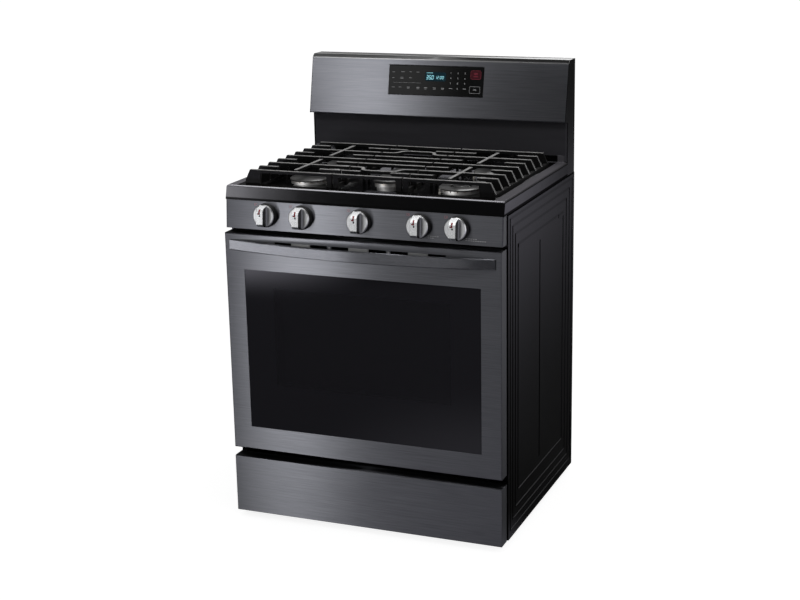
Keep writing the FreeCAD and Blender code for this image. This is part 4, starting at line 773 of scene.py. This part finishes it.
def printed_keys():
    """Figures of the number keys, the framed ON key and a bold bar for the name of each of seven keys."""
    keys = Artwork()
    for row, figures in enumerate(("123", "456", "789", " 0 ")):
        for column, figure in enumerate(figures):
            if figure != " ":
                keys.letters(figure, 44.0 + 20.8 * column, 63.5 - 14.1 * row, 4.6)
    keys.frame(115.6, 19.4, 31.0, 19.0, 0.5, 2.5)
    keys.letters("ON", 115.6, 19.4, 4.0)
    for x in (-80.6, -51.6, -29.2, -2.6, 21.7, 45.2, 86.0):
        keys.bar(x, 21.4, 9.0, 1.1)
    on_display(keys, "display_keys", PALE_INK)


def key_captions():
    """Thin bars for the small captions, as x, height and width, and the line between the rows of keys."""
    captions = Artwork()
    for x, y, width in ((-126.4, 62.8, 8.0), (-99.5, 63.5, 10.0), (-75.9, 64.0, 7.0), (-54.5, 63.8, 8.0),
                        (-127.5, 46.2, 7.0), (-101.7, 48.4, 9.0), (-101.7, 45.4, 9.0), (-75.9, 47.7, 8.0),
                        (-125.8, 20.5, 9.0), (-105.3, 21.0, 8.0), (-80.6, 18.2, 7.0), (-51.6, 17.8, 8.0),
                        (-29.2, 17.8, 7.0), (-2.6, 17.8, 8.0), (21.7, 17.8, 7.0)):
        captions.bar(x, y, width, 0.9)
    captions.bar(-85.0, 33.8, 84.0, 0.4)
    on_display(captions, "display_captions", GREY_INK)


def off_key():
    """Dark red plate of the OFF key with its frame, word and caption in brighter red."""
    x, y = 117.0, 60.5
    plate, off = Artwork(), Artwork()
    plate.bar(x, y, 27.0, 21.0, 0.2)
    off.frame(x, y, 30.0, 24.0, 0.6, 5.0)
    off.letters("OFF", x, y + 2.5, 4.6)
    off.bar(x, y - 4.5, 13.0, 1.2)
    on_display(plate, "display_off_plate", DARK_RED)
    on_display(off, "display_off_key", RED_LIGHT, 2)


# The way up the control panel, and how far the flat of a knob's bar stands out from its seat, in mm.
KNOB_UP = Vector((0.0, KNOB_AXIS.z, -KNOB_AXIS.y))
KNOB_OUT = 42.0


def on_knob(place, up, out):
    """Point beside a knob's middle: up the panel and out along its axis, in millimetres."""
    seat = Vector((TAPS[place]["pos_m"][0], KNOB_SEAT.y, KNOB_SEAT.z))
    return seat + (KNOB_UP * up + KNOB_AXIS * out) * MM


def knob_pointers():
    """Red pointer with a dark dot on the flat of every knob's bar, and its tip on the bar's sloping end."""
    slope = (KNOB_UP * 7.0 - KNOB_AXIS * 4.0).normalized()
    lift = slope.cross(Vector((-1, 0, 0))) * PROUD
    for place in PLACES:
        body = f"knob_{place}"
        flat = on_knob(place, 0.0, KNOB_OUT + PROUD / MM)
        pointer, tip, dot = Artwork(), Artwork(), Artwork()
        pointer.bar(-0.5, 9.5, 4.4, 6.8, 0.1)
        pointer.bar(-4.4, 8.0, 3.6, 3.0, 0.1)
        pointer.lay(f"pointer_{place}", flat, (1, 0, 0), KNOB_UP, RED_INK, body)
        tip.bar(-0.5, 3.6, 4.4, 7.0, 0.1)
        above = on_knob(place, 13.0, KNOB_OUT) + lift
        tip.lay(f"pointer_tip_{place}", above, (1, 0, 0), slope, RED_INK, body)
        dot.bar(0.8, 3.0, 4.4, 5.0, 0.5)
        dot.lay(f"pointer_dot_{place}", flat, (1, 0, 0), KNOB_UP, DARK_INK, body)


def panel_printing():
    """A small burner sign at each knob's upper left, and two rows of blank words by the right-hand knobs."""
    legends, marks = Artwork(), Artwork()
    for i, place in enumerate(PLACES):
        x = TAPS[place]["pos_m"][0] / MM
        marks.frame(x - 31.0, 26.0, 8.0, 6.5, 0.8, 1.0)
        marks.bar(x - 31.0 + (i - 2) * 0.9, 26.0, 2.0, 2.0)
        if i > 2:
            for row, start, width in ((-24.0, 24.0, 30.0), (-28.5, 24.0, 52.0 if i > 3 else 16.0)):
                for word in np.arange(start, start + width, 6.0):
                    legends.bar(x + word, row, 4.6, 1.7)
    panel = just_off("control_panel", KNOB_UP, KNOB_SEAT.z)
    legends.lay("panel_legends", panel, (1, 0, 0), KNOB_UP, PALE_INK, "range_body")
    marks.lay("panel_marks", panel, (1, 0, 0), KNOB_UP, ROSE_INK, "range_body")


lit_readings()
printed_keys()
key_captions()
off_key()
knob_pointers()
panel_printing()


# ---------------------------------------------------------------- screws

def screw_heads(name, spots, radius, height, body):
    """Pan heads facing -Y, all in one mesh.

    Over a polar grid the dome falls as one minus r cubed, and inside r = 0.6 a cross is sunk by half.
    """
    rings, spokes = 6, 24
    spread = np.linspace(0.0, 1.0, rings + 1)[1:]
    r, turn = np.meshgrid(spread, np.linspace(0.0, 2 * np.pi, spokes, endpoint=False), indexing="ij")
    lift = 1 - r ** 3 - 0.5 * ((r < 0.6) & (np.cos(4 * turn) > 0.1))
    dome = np.stack([radius * r * np.cos(turn), -height * lift, radius * r * np.sin(turn)], axis=-1)
    head = np.vstack([(0.0, -0.5 * height, 0.0), dome.reshape(-1, 3)])
    inner, outer = np.arange(spokes), np.roll(np.arange(spokes), -1)
    starts = 1 + spokes * np.arange(rings - 1)[:, None]
    corners = [starts + inner, starts + spokes + inner, starts + spokes + outer, starts + outer]
    quads = np.stack(corners, axis=-1).reshape(-1, 4)
    fan = np.column_stack([np.zeros(spokes, int), 1 + inner, 1 + outer])
    shift = len(head) * np.arange(len(spots))[:, None, None]
    faces = (fan + shift).reshape(-1, 3).tolist() + (quads + shift).reshape(-1, 4).tolist()
    mesh = bpy.data.meshes.new(name)
    mesh.from_pydata((np.array(spots)[:, None, :] + head).reshape(-1, 3).tolist(), [], faces)
    add_detail(mesh, screw_steel(), body)


DOOR_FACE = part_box("door_skin")[0][1] + 0.6 * MM
DOOR_SCREWS = [(side * 81 * MM, DOOR_FACE, DOOR_TOP - 21.5 * MM) for side in (-1, 1)]
screw_heads("door_screws", DOOR_SCREWS, 3.4 * MM, 1.6 * MM, "oven_door")


# ---------------------------------------------------------------- camera

EYE = Vector((1.5493, -3.8185, 1.6925))
LOOK, UP = Vector((-0.36478, 0.89287, -0.26406)), Vector((-0.08186, 0.25175, 0.96432))

lens = bpy.data.cameras.new("camera")
lens.lens = 70.72
lens.sensor_width = 36.0
lens.clip_start, lens.clip_end = 0.05, 200.0
camera = shown("camera", lens)
camera.location = EYE
camera.rotation_mode = "QUATERNION"
camera.rotation_quaternion = Matrix((LOOK.cross(UP), UP, -LOOK)).transposed().to_quaternion()
bpy.context.scene.camera = camera


# ---------------------------------------------------------------- studio

def lamp(name, place, aim, wide, tall, watts, only=None):
    """Soft rectangular studio light at a place, turned to face a point; it may light only some pieces."""
    light = bpy.data.lights.new(name, "AREA")
    light.shape = "RECTANGLE"
    light.size, light.size_y = wide, tall
    light.energy = watts
    holder = shown(name, light)
    holder.location = place
    holder.rotation_mode = "QUATERNION"
    holder.rotation_quaternion = (Vector(aim) - Vector(place)).to_track_quat("-Z", "Y")
    if only:
        lit = bpy.data.collections.new(name)
        for piece in only:
            lit.objects.link(piece)
        holder.light_linking.receiver_collection = lit


def studio_world():
    """Dim surroundings for the light itself, white where the camera or clear glass looks past the range."""
    world = bpy.data.worlds.new("studio")
    s = Shading(world)
    seen = s.ray("Camera", "Transmission")
    level = largest([seen, s.ray("Glossy") * 0.05 + s.ray("Diffuse") * 0.3])
    white = s.node("Background", None, {"Color": (1.0, 1.0, 1.0, 1.0), "Strength": level})
    s.node("OutputWorld", None, {"Surface": white})
    bpy.context.scene.world = world


def studio_floor():
    """Plain pale floor: white to the camera but for the range's shadow, with soft pools of light for gloss.

    One pool lies behind the range, one far off at its front left, and two at its front right, near and far.
    Those beside it show in its side panels, and fade towards the rear of the panel. A ray from the camera,
    mirrored by the panel at the depth called rear, meets the floor where aside is panel plus t (eye x minus
    panel) and y is rear plus t (rear minus eye y), so rear is y plus t eye y, divided by one plus t.
    """
    mesh = bpy.data.meshes.new("studio_floor")
    mesh.from_pydata([(-60, -60, 0), (60, -60, 0), (60, 60, 0), (-60, 60, 0)], [], [(0, 1, 2, 3)])
    floor = shown("studio_floor", mesh)
    f = Finish("studio_floor")
    x, y = f.axis("X"), f.axis("Y")
    seen = f.ray("Camera", "Transmission")
    panel = cad_box[1][0]
    aside = x.math("ABSOLUTE")
    run = aside - 0.5
    t = (aside - panel) / (EYE.x - panel)
    rear = (y + t * EYE.y) / (t + 1.0)
    strip = aside.rise(0.45, 0.6) * (1 - aside.rise(1.75, 2.5)) * y.rise(0.0, 0.6)
    beside = (run * run * 0.16 + 0.006) * strip * (2.0 - rear.rise(-0.35, 0.27) * 1.93)
    behind = y.rise(0.8, 1.6) * (1 - x.rise(0.0, 0.4)) * 0.35
    far_left = y.within(-3.2, -2.9, 0.6) * (1 - x.rise(-1.8, -1.0)) * 3.2
    far_right = x.rise(1.7, 2.3) * (1 - y.rise(0.0, 0.5)) * 0.7
    near_right = y.rise(-1.6, -0.9) * (1 - y.rise(-0.5, 0.0)) * x.rise(-0.5, 0.1) * 0.3
    glossy = f.ray("Glossy") * (beside + behind + far_left + near_right + far_right)
    paper = f.node("BsdfDiffuse", None, {"Color": f.mix(seen, grey(0.08), grey(0.6))})
    white = f.node("Emission", None, {"Color": (1.0, 1.0, 1.0, 1.0), "Strength": seen * 0.87})
    pools = f.node("Emission", None, {"Color": (0.95, 0.93, 1.07, 1.0), "Strength": glossy})
    plain = f.node("AddShader", None, {0: paper, 1: white})
    f.node("OutputMaterial", None, {"Surface": f.node("AddShader", None, {0: plain, 1: pools})})
    f.owner.cycles.emission_sampling = "NONE"
    mesh.materials.append(f.owner)


def named(*names):
    """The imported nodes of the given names."""
    return [NODES[name] for name in names]


def of_slots(*slots):
    """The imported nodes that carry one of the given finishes."""
    return named(*(part["node"] for part in frame["record"]["subparts"] if part["material_slot"] in slots))


def without(pieces, others):
    """The pieces that are not among the others."""
    return [piece for piece in pieces if piece not in others]


studio_world()
studio_floor()

# The pieces that each group of lights may reach.
GUARD, HANDLE = named("backguard_panel"), named("door_handle")
LENS, COOKTOP = named("display_glass"), named("cooktop")
KNOBS, BURNERS = of_slots("knob_silver"), of_slots("burner_aluminium")
FRONTS = without(of_slots("black_stainless"), GUARD + HANDLE)
DULL = without(list(NODES.values()) + DETAILS, FRONTS + GUARD)
TOPS = without(DULL, BURNERS + COOKTOP)
BACK_LIT = without(DULL + FRONTS, COOKTOP + named("backguard_housing"))
REAR = named("backguard_housing", "rear_panel", "gas_regulator", "gas_supply_tube", "base_frame")
INSIDE = named("oven_cavity", "oven_floor", "oven_rack_lower", "oven_rack_upper", "bake_burner",
               "broil_burner", "oven_gasket", "oven_light", "oven_front_frame", "door_liner",
               "door_glass_inner", "drawer_box", "drawer_rails")
MIDDLE = (0.0, 0.0, 0.6)

lamp("strip_low", (-1.34, -2.75, 0.21), (-0.1, -0.3, 0.3), 0.34, 0.38, 10.8, FRONTS)
lamp("strip_high", (-1.4, -2.75, 1.4), (-0.1, -0.3, 0.9), 0.34, 2.0, 4.9, FRONTS)
lamp("front_halo", (-0.5, -2.75, 1.0), (0.1, -0.3, 0.7), 1.6, 2.2, 7, FRONTS)
lamp("front_soft", (-0.9, -2.75, 1.0), (0.1, -0.3, 0.7), 0.7, 2.2, 1.2, FRONTS)
lamp("strip_guard", (-1.53, -2.75, 2.3), (-0.1, 0.2, 1.1), 0.34, 1.3, 22, GUARD)
lamp("guard_sky", (-1.3, 3.9, 1.9), (0, 0.3, 1.18), 3.0, 1.4, 20, GUARD)
lamp("guard_top", (-0.9, -0.6, 3.3), (0, 0.25, 1.18), 2.4, 1.2, 10, GUARD)
lamp("handle_box", (-2.3, -2.75, 0.5), (-0.2, -0.3, 0.7), 2.2, 1.1, 80, HANDLE)
lamp("handle_side", (-0.35, -2.75, 0.5), (0.2, -0.3, 0.7), 1.3, 1.1, 7, HANDLE)
lamp("lens_card", (-1.6, -2.6, 1.95), (-0.1, 0.25, 1.1), 0.9, 1.2, 2.2, LENS)
lamp("apron_box", (-2.16, -2.75, 1.5), (-0.2, -0.3, 0.9), 0.9, 1.4, 18, COOKTOP)
lamp("apron_soft", (-1.91, -2.75, 1.5), (-0.2, -0.3, 0.9), 0.8, 1.4, 3.5, COOKTOP)
lamp("rim_sky", (-0.9, -0.2, 3.0), (0, -0.28, 0.91), 3.2, 1.6, 150, COOKTOP)
lamp("left_box", (-2.3, -2.6, 1.3), (0, -0.3, 0.8), 1.2, 2.4, 22, KNOBS)
lamp("knob_front", (-1.1, -2.75, 0.9), (0, -0.3, 0.84), 2.0, 1.8, 9, KNOBS)
lamp("back_top", (-1.4, 1.6, 2.9), (0, -0.3, 0.8), 1.8, 1.8, 16, KNOBS)
lamp("burner_card", (-1.5, -2.6, 1.7), (0, 0, 0.9), 2.0, 1.2, 140, BURNERS)
lamp("front_top", (-0.4, -1.9, 3.1), MIDDLE, 2.6, 0.6, 14, DULL + FRONTS)
lamp("overhead", (0.3, 0.5, 3.3), MIDDLE, 1.6, 1.6, 90, TOPS)
lamp("fill_right", (3.4, -1.4, 1.6), MIDDLE, 1.0, 2.4, 14)
lamp("rim_back", (1.7, 3.4, 1.95), MIDDLE, 1.2, 1.2, 13, BACK_LIT)
lamp("rear_card", (-1.4, 4.6, 2.2), MIDDLE, 3.6, 2.0, 26, REAR)
lamp("oven_card", (-0.6, -2.7, 1.3), (0, 0, 0.5), 1.8, 1.4, 60, INSIDE)


# ---------------------------------------------------------------- view transform

bpy.context.scene.view_settings.view_transform = "Standard"
